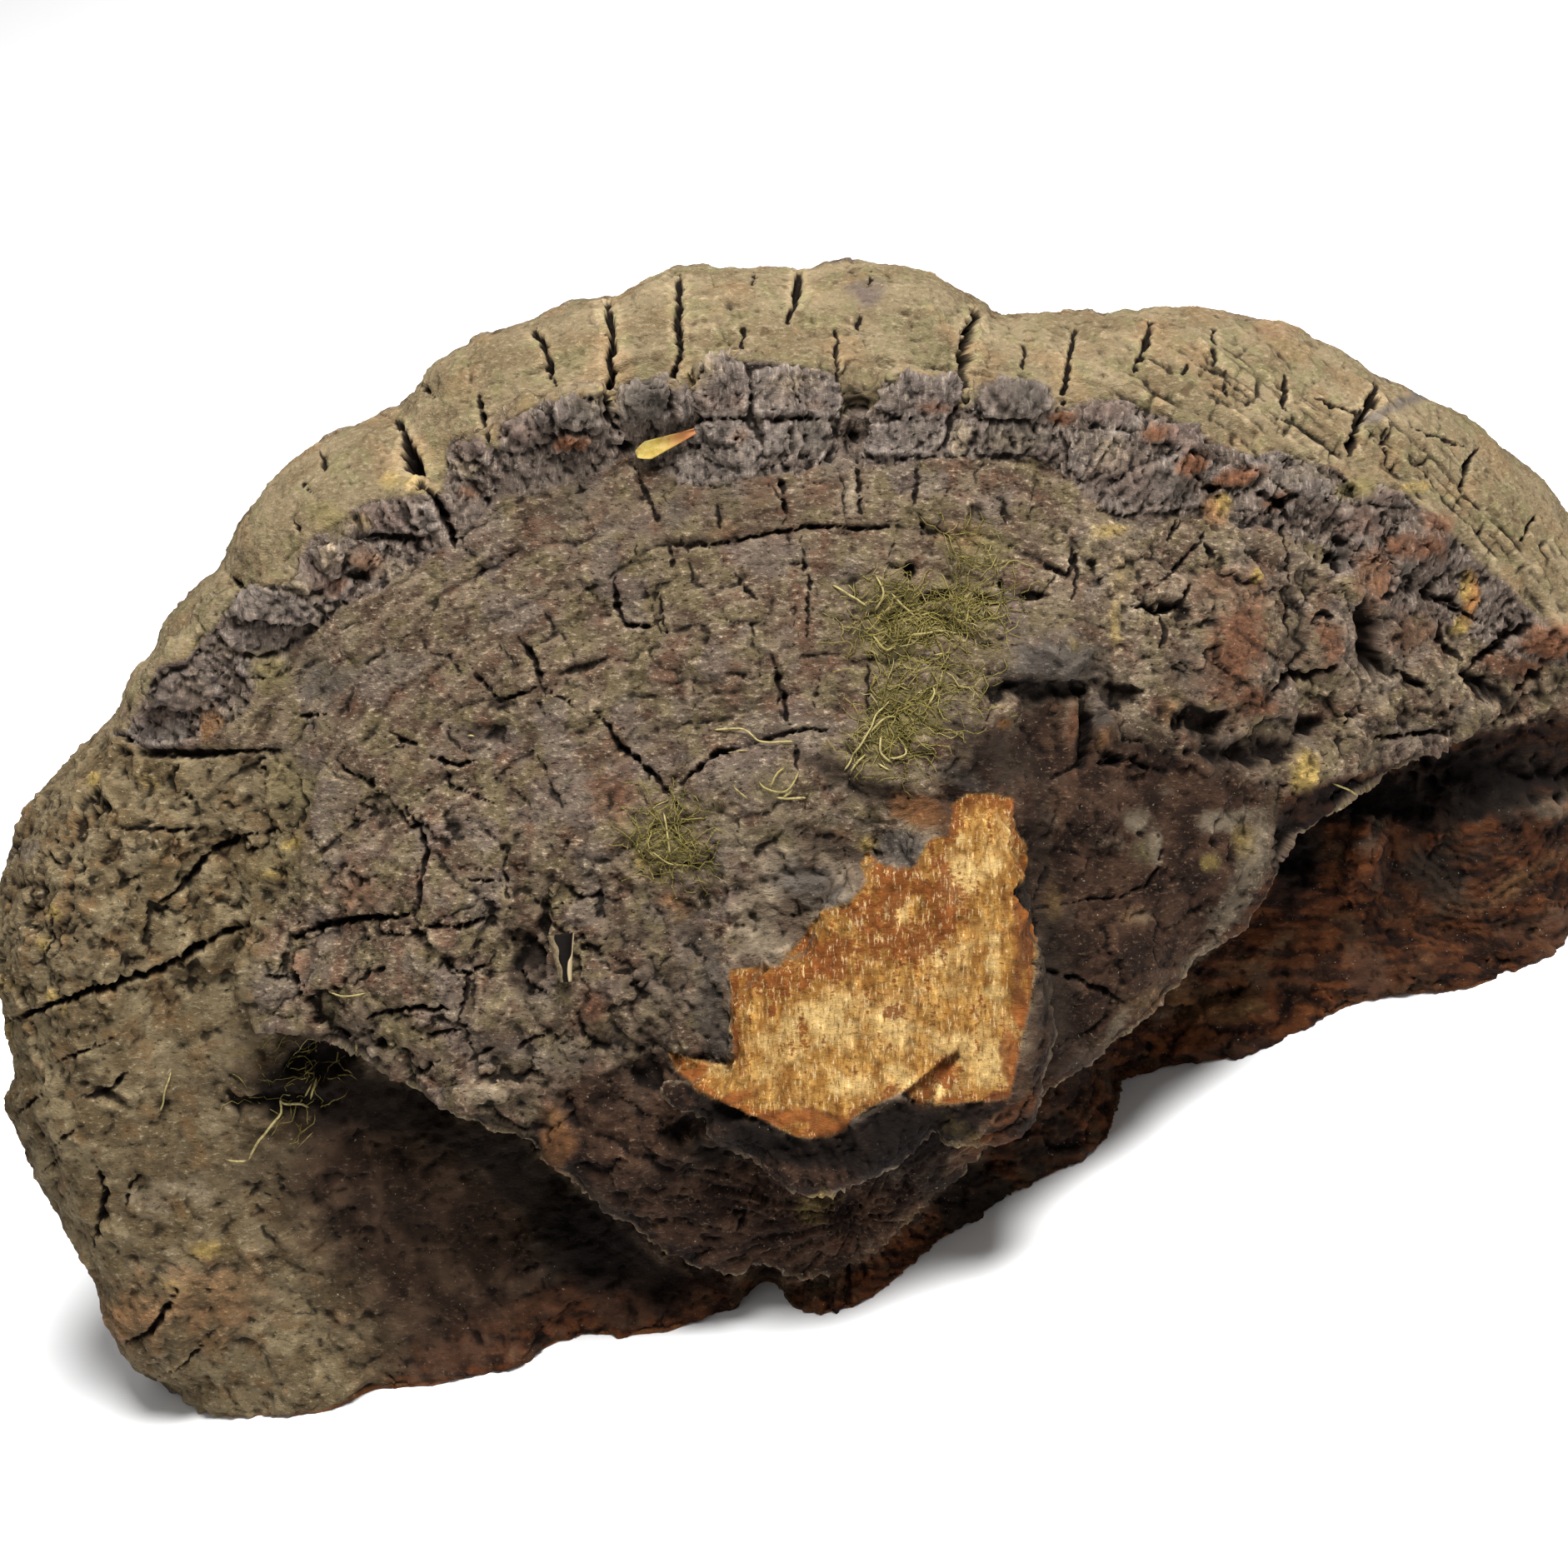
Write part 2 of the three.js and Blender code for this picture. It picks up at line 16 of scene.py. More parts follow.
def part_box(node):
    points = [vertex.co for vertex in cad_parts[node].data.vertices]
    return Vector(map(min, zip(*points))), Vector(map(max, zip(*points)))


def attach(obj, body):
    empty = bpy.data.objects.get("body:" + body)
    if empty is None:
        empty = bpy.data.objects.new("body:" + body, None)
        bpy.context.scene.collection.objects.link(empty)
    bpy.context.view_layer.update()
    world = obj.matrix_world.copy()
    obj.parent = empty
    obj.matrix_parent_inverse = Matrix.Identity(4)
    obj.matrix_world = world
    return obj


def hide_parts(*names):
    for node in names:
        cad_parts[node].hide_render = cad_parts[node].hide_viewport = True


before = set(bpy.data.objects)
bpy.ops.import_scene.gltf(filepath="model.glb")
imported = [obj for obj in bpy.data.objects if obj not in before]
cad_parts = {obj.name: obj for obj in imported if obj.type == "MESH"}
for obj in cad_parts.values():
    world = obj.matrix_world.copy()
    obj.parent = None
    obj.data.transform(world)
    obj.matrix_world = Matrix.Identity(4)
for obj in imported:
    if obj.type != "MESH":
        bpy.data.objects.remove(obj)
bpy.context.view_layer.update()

# The viewpoint. The weathered cap is seen from a little above, with the camera rolled, so that the fan leans in
# the picture. A mark read off the picture is a sight line from here, and lies where that line meets the bracket.
MM = 0.001
PICTURE = 1882  # pixels across the picture
ELEVATION = math.radians(28)
ROLL = math.radians(19.2)
DISTANCE = 480
AIM = np.array([0.0, 0.0, 60.0])
FIELD = 188.2  # the width seen at the aim
SENSOR = 36


def placed(name, data):
    """A new object in the scene."""
    made = bpy.data.objects.new(name, data)
    bpy.context.scene.collection.objects.link(made)
    return made


sight = np.array([0, math.cos(ELEVATION), -math.sin(ELEVATION)])
level_up = np.array([0, math.sin(ELEVATION), math.cos(ELEVATION)])
level_right = np.array([1.0, 0, 0])
picture_right = math.cos(ROLL) * level_right - math.sin(ROLL) * level_up
picture_up = math.sin(ROLL) * level_right + math.cos(ROLL) * level_up
eye = AIM - sight * DISTANCE

lens = bpy.data.cameras.new("viewpoint")
lens.sensor_width = SENSOR
lens.lens = SENSOR * DISTANCE / FIELD
lens.clip_end = 10
camera = placed("viewpoint", lens)
turned = Matrix((picture_right, picture_up, -sight)).transposed().to_4x4()
camera.matrix_world = Matrix.Translation(Vector(eye * MM)) @ turned
bpy.context.scene.camera = camera


def in_picture(points):
    """The pixels at which points, in millimetres, are seen."""
    away = points - eye
    scale = PICTURE / FIELD * DISTANCE / (away @ sight)
    return np.stack([PICTURE / 2 + (away @ picture_right) * scale, PICTURE / 2 - (away @ picture_up) * scale], 1)


# The grown body. One woody fungus of many yearly layers, its surface worn round by weather.
# The solid's facets are rounded off here, and later sections cut and raise the surface along its normals.
VOXEL = 0.8
ROUNDING = 40  # smoothing steps where the surface is worn round
SPARED = 0.85  # share of them that broken edges, overhangs and the edge of the cut are spared
BROKEN_REACH = 30  # pixels outside a broken edge where it is still spared
OVERHANG_REACH = (60, 25)  # pixels from an overhang where it begins to be spared, and is wholly
CUT_REACH = (8, 3)  # and the same in millimetres above the cut
CRUST_TOP = [
    (132, 878), (160, 880), (190, 800), (225, 790), (290, 710), (355, 700), (370, 650), (430, 610), (470, 600),
    (530, 590), (545, 530), (600, 540), (640, 490), (715, 475), (750, 460), (825, 470), (835, 440), (905, 430),
    (1005, 450), (1010, 500), (1050, 490), (1060, 460), (1150, 455), (1155, 490), (1190, 465), (1260, 465),
    (1265, 500), (1300, 485), (1370, 490), (1440, 525), (1500, 545), (1600, 560), (1640, 600), (1680, 590),
    (1740, 640), (1800, 700), (1850, 740), (1882, 770),
]
CRUST_FOOT = [
    (1882, 800), (1840, 800), (1760, 760), (1700, 740), (1640, 720), (1600, 660), (1520, 640), (1440, 620),
    (1330, 610), (1240, 550), (1130, 550), (1040, 560), (1010, 545), (1000, 560), (835, 580), (760, 545), (700, 575),
    (600, 600), (545, 650), (480, 690), (400, 740), (330, 800), (270, 870), (190, 905),
]
GOLDEN_FACE = [
    (1160, 955), (1185, 952), (1215, 960), (1222, 1000), (1232, 1015), (1233, 1045), (1215, 1070), (1225, 1085),
    (1240, 1115), (1243, 1130), (1238, 1190), (1230, 1230), (1222, 1270), (1210, 1318), (1130, 1327), (1104, 1331),
    (1085, 1310), (1050, 1325), (1020, 1345), (1015, 1358), (990, 1367), (955, 1365), (930, 1352), (900, 1340),
    (870, 1325), (840, 1310), (815, 1285), (802, 1262), (870, 1278), (880, 1265), (878, 1200), (875, 1165),
    (930, 1160), (960, 1130), (975, 1110), (1000, 1090), (1020, 1085), (1040, 1060), (1035, 1040), (1040, 1020),
    (1055, 1040), (1075, 1045), (1100, 1040), (1115, 1010), (1140, 1000), (1145, 965),
]
OVERHANGS = [
    [(300, 1180), (375, 1240), (450, 1290), (560, 1335), (640, 1366), (690, 1410), (760, 1488), (830, 1535),
        (930, 1540)],
    [(1205, 1325), (1340, 1240), (1440, 1150), (1530, 1040), (1560, 950), (1620, 935), (1700, 915), (1740, 875),
        (1880, 840)], [(800, 1268), (870, 1325), (960, 1368), (1085, 1320), (1205, 1325)],
]


def with_modifier(mesh, kind, spare=None, **settings):
    """The mesh after one modifier. Spare is how readily each vertex may go, from 0 to 1."""
    carrier = placed("carrier", mesh)
    if spare is not None:
        group = carrier.vertex_groups.new(name="spare")
        for level in range(11):
            alike = np.nonzero(np.round(spare * 10) == level)[0]
            if len(alike):
                group.add(alike.tolist(), level / 10, "REPLACE")
    modifier = carrier.modifiers.new(kind, kind)
    for name, value in settings.items():
        setattr(modifier, name, value)
    made = bpy.data.meshes.new_from_object(carrier.evaluated_get(bpy.context.evaluated_depsgraph_get()))
    bpy.data.objects.remove(carrier)
    return made


def places(mesh):
    """Where the vertices of a mesh are, in millimetres."""
    flat = np.empty(len(mesh.vertices) * 3, np.float32)
    mesh.vertices.foreach_get("co", flat)
    return flat.reshape(-1, 3) / MM


def set_places(mesh, points):
    mesh.vertices.foreach_set("co", (points * MM).astype(np.float32).ravel())
    mesh.update()


def neighbours(mesh):
    """A function that gives, for a value on each vertex, the mean of the values on the vertices next to it."""
    ends = np.empty(len(mesh.edges) * 2, np.int32)
    mesh.edges.foreach_get("vertices", ends)
    first, second = ends.reshape(-1, 2).T
    count = len(mesh.vertices)
    shared = np.bincount(ends, minlength=count)
    return lambda values: (
        np.bincount(first, values[second], count) + np.bincount(second, values[first], count)
    ) / shared


def rounded(mesh, steps):
    """Moves each vertex towards the mean of its neighbours, as many times as its own number of steps says."""
    mean_beside = neighbours(mesh)
    points = places(mesh).astype(float)
    for step in range(int(np.max(steps))):
        pull = 0.5 * np.clip(steps - step, 0, 1)
        for axis in range(3):
            points[:, axis] += pull * (mean_beside(points[:, axis]) - points[:, axis])
    set_places(mesh, points)


def smooth(low, high, value):
    """0 below low, 1 above high, with an easy change between."""
    part = np.clip((value - low) / (high - low), 0, 1)
    return part * part * (3 - 2 * part)


def line_gap(pixels, line):
    """How many pixels each pixel lies from an open line."""
    corners = np.array(line, float)
    nearest = np.full(len(pixels), np.inf)
    for start, end in zip(corners[:-1], corners[1:]):
        way = end - start
        along = np.clip(((pixels - start) @ way) / (way @ way), 0, 1)
        nearest = np.minimum(nearest, np.linalg.norm(pixels - start - along[:, None] * way, axis=1))
    return nearest


def signed_depth(pixels, outline):
    """How many pixels each pixel lies inside an outline, negative outside."""
    closed = np.array([*outline, outline[0]], float)
    inside = np.zeros(len(pixels), bool)
    for start, end in zip(closed[:-1], closed[1:]):
        crosses = (start[1] > pixels[:, 1]) != (end[1] > pixels[:, 1])
        way = end - start
        inside ^= crosses & (pixels[:, 0] < start[0] + way[0] * (pixels[:, 1] - start[1]) / (way[1] or 1))
    nearest = line_gap(pixels, closed)
    return np.where(inside, nearest, -nearest)


form = with_modifier(
    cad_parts["bracket"].data.copy(), "REMESH", mode="VOXEL", voxel_size=VOXEL * MM, adaptivity=0,
)
pixels = in_picture(places(form))
sharp = smooth(*CUT_REACH, places(form)[:, 2])
for outline in (CRUST_TOP + CRUST_FOOT, GOLDEN_FACE):
    sharp = np.maximum(sharp, smooth(-BROKEN_REACH, 0, signed_depth(pixels, outline)))
for line in OVERHANGS:
    sharp = np.maximum(sharp, smooth(*OVERHANG_REACH, line_gap(pixels, line)))
rounded(form, ROUNDING * (1 - SPARED * sharp))
form = with_modifier(form, "SUBSURF", levels=1, render_levels=1)

# The rim. The margin is scalloped, and the foot is uneven where it was cut. RIM is the outline in the picture,
# and what is seen there is pushed out or in by a millimetre or two to follow it.
RIM = [
    (0, 1058), (8, 1045), (25, 1005), (48, 962), (65, 940), (84, 912), (105, 895), (128, 878), (140, 850), (158, 812),
    (182, 786), (192, 758), (210, 733), (232, 712), (262, 690), (270, 665), (280, 640), (300, 612), (325, 582),
    (355, 553), (385, 530), (410, 515), (440, 507), (475, 494), (490, 478), (510, 448), (530, 433), (560, 418),
    (570, 410), (630, 392), (655, 377), (690, 362), (735, 359), (770, 340), (800, 327), (840, 323), (880, 322),
    (915, 319), (945, 321), (967, 325), (990, 319), (1020, 315), (1055, 317), (1090, 322), (1120, 330), (1150, 346),
    (1175, 363), (1187, 378), (1205, 382), (1230, 379), (1310, 378), (1350, 371), (1395, 368), (1440, 371),
    (1470, 378), (1550, 391), (1568, 404), (1600, 418), (1632, 439), (1655, 455), (1690, 465), (1730, 485),
    (1760, 501), (1785, 520), (1815, 548), (1845, 572), (1865, 595), (1882, 622), (1882, 1136), (1840, 1150),
    (1780, 1177), (1730, 1188), (1680, 1190), (1630, 1202), (1545, 1238), (1520, 1252), (1475, 1266), (1420, 1274),
    (1360, 1289), (1344, 1297), (1339, 1320), (1335, 1350), (1325, 1367), (1280, 1399), (1200, 1438), (1160, 1468),
    (1120, 1495), (1080, 1530), (1050, 1552), (1020, 1566), (990, 1572), (968, 1569), (950, 1556), (938, 1542),
    (920, 1538), (905, 1543), (885, 1562), (840, 1580), (800, 1595), (745, 1602), (705, 1600), (675, 1606),
    (655, 1614), (615, 1638), (560, 1646), (525, 1659), (445, 1667), (420, 1677), (400, 1690), (350, 1697),
    (265, 1701), (240, 1692), (200, 1665), (160, 1637), (148, 1612), (132, 1580), (115, 1545), (92, 1505), (78, 1475),
    (65, 1445), (38, 1400), (20, 1360), (5, 1332), (0, 1315),
]
RIM_MIDDLE = (941, 1010)
RIM_TURNS = 720  # directions from the middle in which the outline is compared
RIM_POINTS = 8000  # points along it that are compared
RIM_BAND = 0.84  # share of the way out from the middle at which the push begins
LOW_DOWN = 12  # height below which the push turns level


def furthest(offsets):
    """How far offsets from the middle reach, in each direction."""
    turn = np.arctan2(offsets[:, 1], offsets[:, 0])
    far = np.zeros(RIM_TURNS)
    np.maximum.at(far, (turn / (2 * math.pi) * RIM_TURNS).astype(int) % RIM_TURNS, np.hypot(*offsets.T))
    return turn, far


def normals(mesh):
    flat = np.empty(len(mesh.vertices) * 3, np.float32)
    mesh.vertex_normals.foreach_get("vector", flat)
    return flat.reshape(-1, 3)


place = places(form).astype(float)
offsets = in_picture(place) - RIM_MIDDLE
turn, reached = furthest(offsets)
corners = np.array(RIM + RIM[:1], float)
stops = np.linspace(0, len(RIM), RIM_POINTS)
drawn = np.stack([np.interp(stops, np.arange(len(RIM) + 1), corners[:, axis]) for axis in range(2)], 1)
wanted = furthest(drawn - RIM_MIDDLE)[1]
cut_off = furthest(drawn[(drawn[:, 0] <= 0) | (drawn[:, 0] >= PICTURE)] - RIM_MIDDLE)[1] > 0
missing = np.where(cut_off | (reached == 0), 0, wanted - reached)
missing = (np.roll(missing, 1) + 2 * missing + np.roll(missing, -1)) / 4
directions = (np.arange(RIM_TURNS) + 0.5) / RIM_TURNS * 2 * math.pi
reached_here = np.interp(turn, directions, reached, period=2 * math.pi)
push = np.interp(turn, directions, missing, period=2 * math.pi) * FIELD / PICTURE
push *= smooth(RIM_BAND, 1.0, np.hypot(*offsets.T) / reached_here)
across, upward = push * np.cos(turn), -push * np.sin(turn)
tilted = np.outer(across, picture_right) + np.outer(upward, picture_up)
# Low down, the same push as seen is made along the floor.
floor_ways = np.array([[way @ axis for axis in ((1, 0, 0), (0, 1, 0))] for way in (picture_right, picture_up)])
along_floor = np.stack([across, upward], 1) @ np.linalg.inv(floor_ways).T
level = smooth(LOW_DOWN, 0, place[:, 2])[:, None]
place += tilted * (1 - level)
place[:, :2] += along_floor * level
place[:, 2] = np.maximum(place[:, 2], 0)
set_places(form, place)

normal = normals(form).astype(float)
pixels = in_picture(place)
facing = -(normal @ sight)
faces_camera = smooth(-0.05, 0.2, facing)
front = np.nonzero(faces_camera > 0)[0]
front_pixels = pixels[front]
lift = np.zeros(len(place))  # how far each vertex is to be raised along its normal
marks = {}  # for each finish, patch or kind of damage, how much each vertex has of it


def ray_tree(mesh):
    """A mesh as a skin that sight lines can meet."""
    carrier = placed("carrier", mesh)
    made = BVHTree.FromObject(carrier, bpy.context.evaluated_depsgraph_get())
    bpy.data.objects.remove(carrier)
    return made


def seen_at(pixel, skin):
    """The point of a skin, in millimetres, that is seen at a pixel, with its normal, or nothing if none is."""
    per_pixel = FIELD / PICTURE / DISTANCE
    across = (pixel[0] - PICTURE / 2) * per_pixel
    upward = (PICTURE / 2 - pixel[1]) * per_pixel
    way = Vector(sight + across * picture_right + upward * picture_up).normalized()
    point, up = skin.ray_cast(Vector(eye * MM), way)[:2]
    return None if point is None else (np.array(point) / MM, np.array(up))


base_skin = ray_tree(form)

# The umbo. Growth began there, and every yearly layer lies round it. Noise that follows the growth is laid out by
# how far round the umbo a place is, how far out from it, and how deep.
UMBO = (1028, 1459)
RING_RADIUS = 85.0  # millimetres from there at which the blocks of the rows have their stated width
grown_from = seen_at(UMBO, base_skin)[0]
sideways, upwards = place[:, 0] - grown_from[0], place[:, 2] - grown_from[2]
around = np.stack([np.arctan2(sideways, upwards) * RING_RADIUS, np.hypot(sideways, upwards), place[:, 1]], 1)

chance = np.random.default_rng(7)
slopes = chance.normal(size=(256, 3))
slopes = (slopes / np.linalg.norm(slopes, axis=1, keepdims=True)).astype(np.float32)
shuffle = chance.permutation(256).astype(np.int32)


def noise(points, seed=0):
    """Smooth noise from about -1 to 1 that changes over one unit of the points."""
    cell = np.floor(points).astype(np.int32)
    inside = np.ascontiguousarray((points - cell).T, np.float32)
    fade = inside * inside * inside * (inside * (inside * 6 - 15) + 10)
    total = np.zeros(len(points), np.float32)
    for i in (0, 1):
        key_x = shuffle[(cell[:, 0] + i + 31 * seed) & 255]
        share_x = fade[0] if i else 1 - fade[0]
        for j in (0, 1):
            key_y = shuffle[(key_x + cell[:, 1] + j) & 255]
            share_y = share_x * (fade[1] if j else 1 - fade[1])
            for k in (0, 1):
                slope = slopes[shuffle[(key_y + cell[:, 2] + k) & 255]].T
                rise = slope[0] * (inside[0] - i) + slope[1] * (inside[1] - j) + slope[2] * (inside[2] - k)
                total += rise * share_y * (fade[2] if k else 1 - fade[2])
    return 1.6 * total


def rough(points, size, layers=3, seed=0):
    """Noise whose largest lumps have this size, with finer and lower ones on them."""
    total = np.zeros(len(points))
    size = np.array(size, float)
    for layer in range(layers):
        total += noise(points * 2**layer / size, seed + layer) / 2**layer
    return total


# The zones. The newest growth is a thick tan margin, the crust ring is the broken edge of the older cap, the wings
# are newer growth beside and below the cap, and the block, the knob and the foot are its dark worn underparts.
MARGIN = CRUST_TOP + [(1990, 800), (1990, 200), (60, 200), (60, 860)]
WING = [
    (-80, 830), (132, 878), (230, 900), (350, 905), (375, 960), (370, 1010), (330, 1100), (305, 1180), (310, 1240),
    (375, 1235), (450, 1290), (510, 1310), (560, 1335), (640, 1366), (690, 1410), (760, 1488), (830, 1530),
    (930, 1540), (900, 1800), (-80, 1800),
]
KNOB = [
    (640, 1372), (650, 1330), (700, 1290), (760, 1270), (800, 1262), (856, 1313), (926, 1345), (958, 1365),
    (1015, 1361), (1085, 1313), (1105, 1326), (1207, 1320), (1205, 1325), (1150, 1370), (1115, 1430), (1060, 1480),
    (1000, 1528), (930, 1535), (830, 1530), (760, 1488), (690, 1410),
]
BLOCK = [
    (1110, 975), (1150, 905), (1225, 850), (1300, 850), (1400, 885), (1470, 900), (1530, 940), (1535, 1000),
    (1500, 1090), (1440, 1150), (1390, 1200), (1340, 1240), (1300, 1290), (1215, 1320), (1240, 1200), (1240, 1130),
]
FOOT_RIGHT = [
    (1340, 1240), (1440, 1150), (1530, 1040), (1540, 960), (1600, 930), (1700, 920), (1740, 880), (1990, 850),
    (1990, 1400), (1341, 1500), (1205, 1325),
]
FOOT_LEFT = [
    (440, 1665), (560, 1600), (700, 1545), (850, 1530), (940, 1535), (1000, 1530), (1115, 1430), (1200, 1325),
    (1345, 1240), (1345, 1420), (1000, 1650), (440, 1750),
]
UNDER_EDGE = [
    (300, 1300), (375, 1240), (450, 1290), (510, 1310), (560, 1335), (640, 1366), (690, 1410), (760, 1488),
    (860, 1535), (800, 1570), (700, 1540), (620, 1450), (540, 1390), (430, 1350), (330, 1340),
]
UNDER_RIGHT = [
    (1545, 965), (1600, 935), (1700, 918), (1760, 880), (1990, 845), (1990, 955), (1850, 950), (1760, 990),
    (1690, 1010), (1660, 965), (1600, 985), (1570, 1080), (1515, 1095),
]
UNDER_TORN = [
    (820, 1300), (880, 1335), (960, 1372), (1085, 1325), (1205, 1328), (1150, 1375), (1050, 1405), (900, 1395),
]
WEDGE = [
    (872, 1165), (885, 1120), (880, 1080), (890, 1050), (940, 1010), (1000, 1000), (1030, 1010), (1042, 1045),
    (1035, 1065), (1005, 1090), (975, 1110), (955, 1150), (930, 1162), (900, 1166),
]
# The part of the wing below the overhang, which is darkened towards it as painted shade.
WING_SHADE = [
    (300, 1280), (375, 1235), (560, 1330), (700, 1440), (940, 1540), (900, 1700), (500, 1700), (430, 1600),
    (330, 1450),
]
wander = rough(place, 5, 3, 11)


def zone(outline, edge, strays):
    """How much each vertex that faces the camera belongs to an outline.

    The border between inside and outside is edge pixels wide and strays by some pixels.
    """
    belongs = np.zeros(len(place))
    reach = edge / 2 + 3 * strays
    close = (front_pixels > np.min(outline, 0) - reach) & (front_pixels < np.max(outline, 0) + reach)
    near = front[close.all(1)]
    depth = signed_depth(pixels[near], outline) + strays * wander[near]
    belongs[near] = smooth(-edge / 2, edge / 2, depth) * faces_camera[near]
    return belongs


marks["margin"] = zone(MARGIN, 6, 3)
marks["crust"] = zone(CRUST_TOP + CRUST_FOOT, 8, 8)
marks["wing"] = zone(WING, 24, 10)
marks["golden"] = zone(GOLDEN_FACE, 3, 2)
marks["dark"] = np.maximum(zone(KNOB, 10, 6), zone(BLOCK, 44, 12))
marks["foot"] = np.maximum(zone(FOOT_RIGHT, 16, 8), zone(FOOT_LEFT, 60, 14))
# Painted shade: under the overhangs and under the torn slab the colour is darkened towards near black.
marks["deep"] = np.maximum(zone(UNDER_EDGE, 60, 12), np.maximum(zone(UNDER_RIGHT, 40, 12), zone(UNDER_TORN, 24, 8)))
# Painted shade on the wing, darkest towards the overhang.
marks["damp"] = zone(WING_SHADE, 150, 16)
marks["wedge"] = zone(WEDGE, 16, 6)
marks["cut"] = smooth(-0.7, -0.9, normal[:, 2]) * smooth(1.0, 0.4, place[:, 2])
backwards = smooth(-0.05, -0.25, facing) * (1 - marks["cut"])
marks["pores"] = backwards * smooth(16, 22, place[:, 1])
marks["margin"] = np.maximum(marks["margin"], backwards * (1 - marks["pores"]) * (place[:, 2] > 40))

# The lumps and pits. The cap and the wings swelled unevenly as they grew, and bits have weathered out of them.
# Each is a pixel, half width, half height, how far it stands out or goes in, and its turn in degrees if it has one.
LUMPS = [
    (430, 1050, 70, 55, 1.6), (450, 1165, 90, 45, 1.2, 10), (600, 1225, 60, 30, 1.0, 10),
    (545, 1290, 45, 30, 1.4, -20), (575, 1312, 30, 12, 1.0, 10), (330, 1170, 35, 50, 0.8), (725, 1320, 32, 36, 1.4),
    (672, 1365, 22, 30, 1.6), (660, 1335, 20, 14, 1.0), (870, 770, 110, 60, 0.8), (700, 900, 60, 60, 0.8),
    (680, 1010, 70, 45, 0.8), (560, 990, 50, 50, 0.7), (860, 920, 50, 35, 0.7), (1480, 790, 48, 80, 1.6, -15),
    (1590, 770, 22, 34, 1.2), (1640, 690, 36, 46, 1.4, 20), (1715, 635, 28, 26, 1.2), (1700, 665, 30, 22, 0.8),
    (1860, 760, 30, 24, 1.4), (1630, 835, 46, 40, 1.2), (1725, 825, 40, 40, 1.2), (1690, 880, 70, 30, 1.0, -10),
    (1790, 860, 40, 26, 1.0), (1540, 840, 30, 28, 0.8), (1585, 905, 40, 30, 1.0), (1350, 840, 30, 70, 0.8, 10),
    (1320, 860, 14, 34, 1.4, 5), (1285, 872, 12, 30, 1.4), (1255, 790, 52, 26, 1.2), (1340, 1040, 60, 50, 0.8),
    (1440, 1030, 50, 60, 0.6), (1300, 1250, 40, 36, 0.8), (90, 960, 60, 50, 0.7), (230, 980, 80, 40, 0.8, 20),
    (90, 1130, 60, 40, 0.7, 10), (260, 1120, 60, 24, 0.8, 20), (280, 1060, 60, 22, 0.8, 25),
    (240, 1260, 90, 50, 0.8, 20), (130, 1350, 50, 50, 0.6), (230, 1580, 50, 55, 0.9), (150, 1600, 40, 40, 0.6),
    (430, 1430, 60, 40, 0.6), (500, 1560, 80, 40, 0.5, 10), (950, 1450, 60, 40, 0.8), (840, 1470, 60, 40, 0.8),
    (740, 1420, 40, 40, 0.8), (1080, 1410, 60, 40, 0.8, 30), (1640, 1010, 20, 50, 1.4, -20),
    (1600, 1170, 40, 24, 1.2, 10), (1480, 1220, 50, 20, 1.0, 10), (1720, 1150, 60, 20, 0.8, 10),
    (1850, 965, 40, 24, 1.6), (1510, 610, 24, 16, 0.6), (1550, 660, 30, 22, 0.7), (1480, 650, 30, 18, 0.6),
    (1600, 690, 18, 26, 0.6), (1320, 640, 34, 14, 0.5), (1400, 700, 26, 18, 0.6), (1380, 760, 30, 30, 0.8),
]
PITS = [
    (634, 1146, 14, 24, 1.8, 10), (652, 1116, 6, 26, 1.6), (1444, 868, 26, 16, 3.0, -10), (1500, 905, 54, 14, 1.8),
    (1245, 828, 52, 12, 1.2, 5), (1330, 835, 26, 18, 1.6), (1300, 880, 6, 40, 1.4), (1355, 900, 30, 14, 1.2),
    (1570, 870, 14, 12, 1.4), (1640, 765, 10, 40, 2.4), (1655, 800, 20, 10, 1.4), (1094, 685, 6, 9, 2.0),
    (1120, 716, 18, 5, 1.2, 10), (1176, 722, 16, 6, 1.4), (1240, 714, 18, 5, 1.4, -5), (1172, 618, 10, 10, 0.7, 40),
    (1206, 622, 8, 10, 0.7, 30), (1022, 526, 14, 16, 0.8), (1028, 486, 12, 22, 0.7), (753, 537, 8, 6, 2.4, -20),
    (585, 880, 34, 12, 0.9), (545, 942, 22, 10, 0.9), (700, 800, 26, 6, 0.9, 15), (600, 845, 16, 8, 0.9),
    (400, 1270, 44, 22, 2.0, 15), (340, 1325, 60, 14, 1.6), (1555, 1020, 16, 30, 2.5, 15), (1660, 960, 60, 22, 2.0),
    (1790, 930, 80, 24, 2.5, -5), (1200, 830, 20, 14, 1.0), (1790, 830, 40, 12, 1.6, -30), (1690, 700, 14, 20, 1.2),
    (1608, 668, 10, 18, 1.4), (780, 1290, 20, 20, 1.5), (860, 1340, 60, 14, 1.8, 20), (930, 1390, 90, 16, 1.0),
    (440, 640, 16, 10, 0.8, -10), (475, 645, 36, 5, 1.2, -5), (430, 688, 10, 8, 1.2, -30), (1450, 585, 12, 5, 1.0),
    (1535, 605, 20, 5, 1.2, 25), (220, 905, 50, 6, 1.4), (130, 1316, 26, 6, 1.0, -25),
]
ragged_edge = rough(place, 2.2, 4, 24)


def spots_over(spots, ragged, soft):
    """For each round spot: the vertices near it, how much it covers them, and its value."""
    stray = ragged * ragged_edge
    for x, y, wide, tall, value, *turned_by in spots:
        near = front[(np.abs(front_pixels - (x, y)) < 2 * max(wide, tall)).all(1)]
        slant = math.radians(sum(turned_by))
        offset = pixels[near] - (x, y)
        across = offset @ (math.cos(slant), -math.sin(slant))
        along = offset @ (math.sin(slant), math.cos(slant))
        gap = np.hypot(across / wide, along / tall) + stray[near]
        yield near, smooth(1 + soft, 1 - soft, gap), value


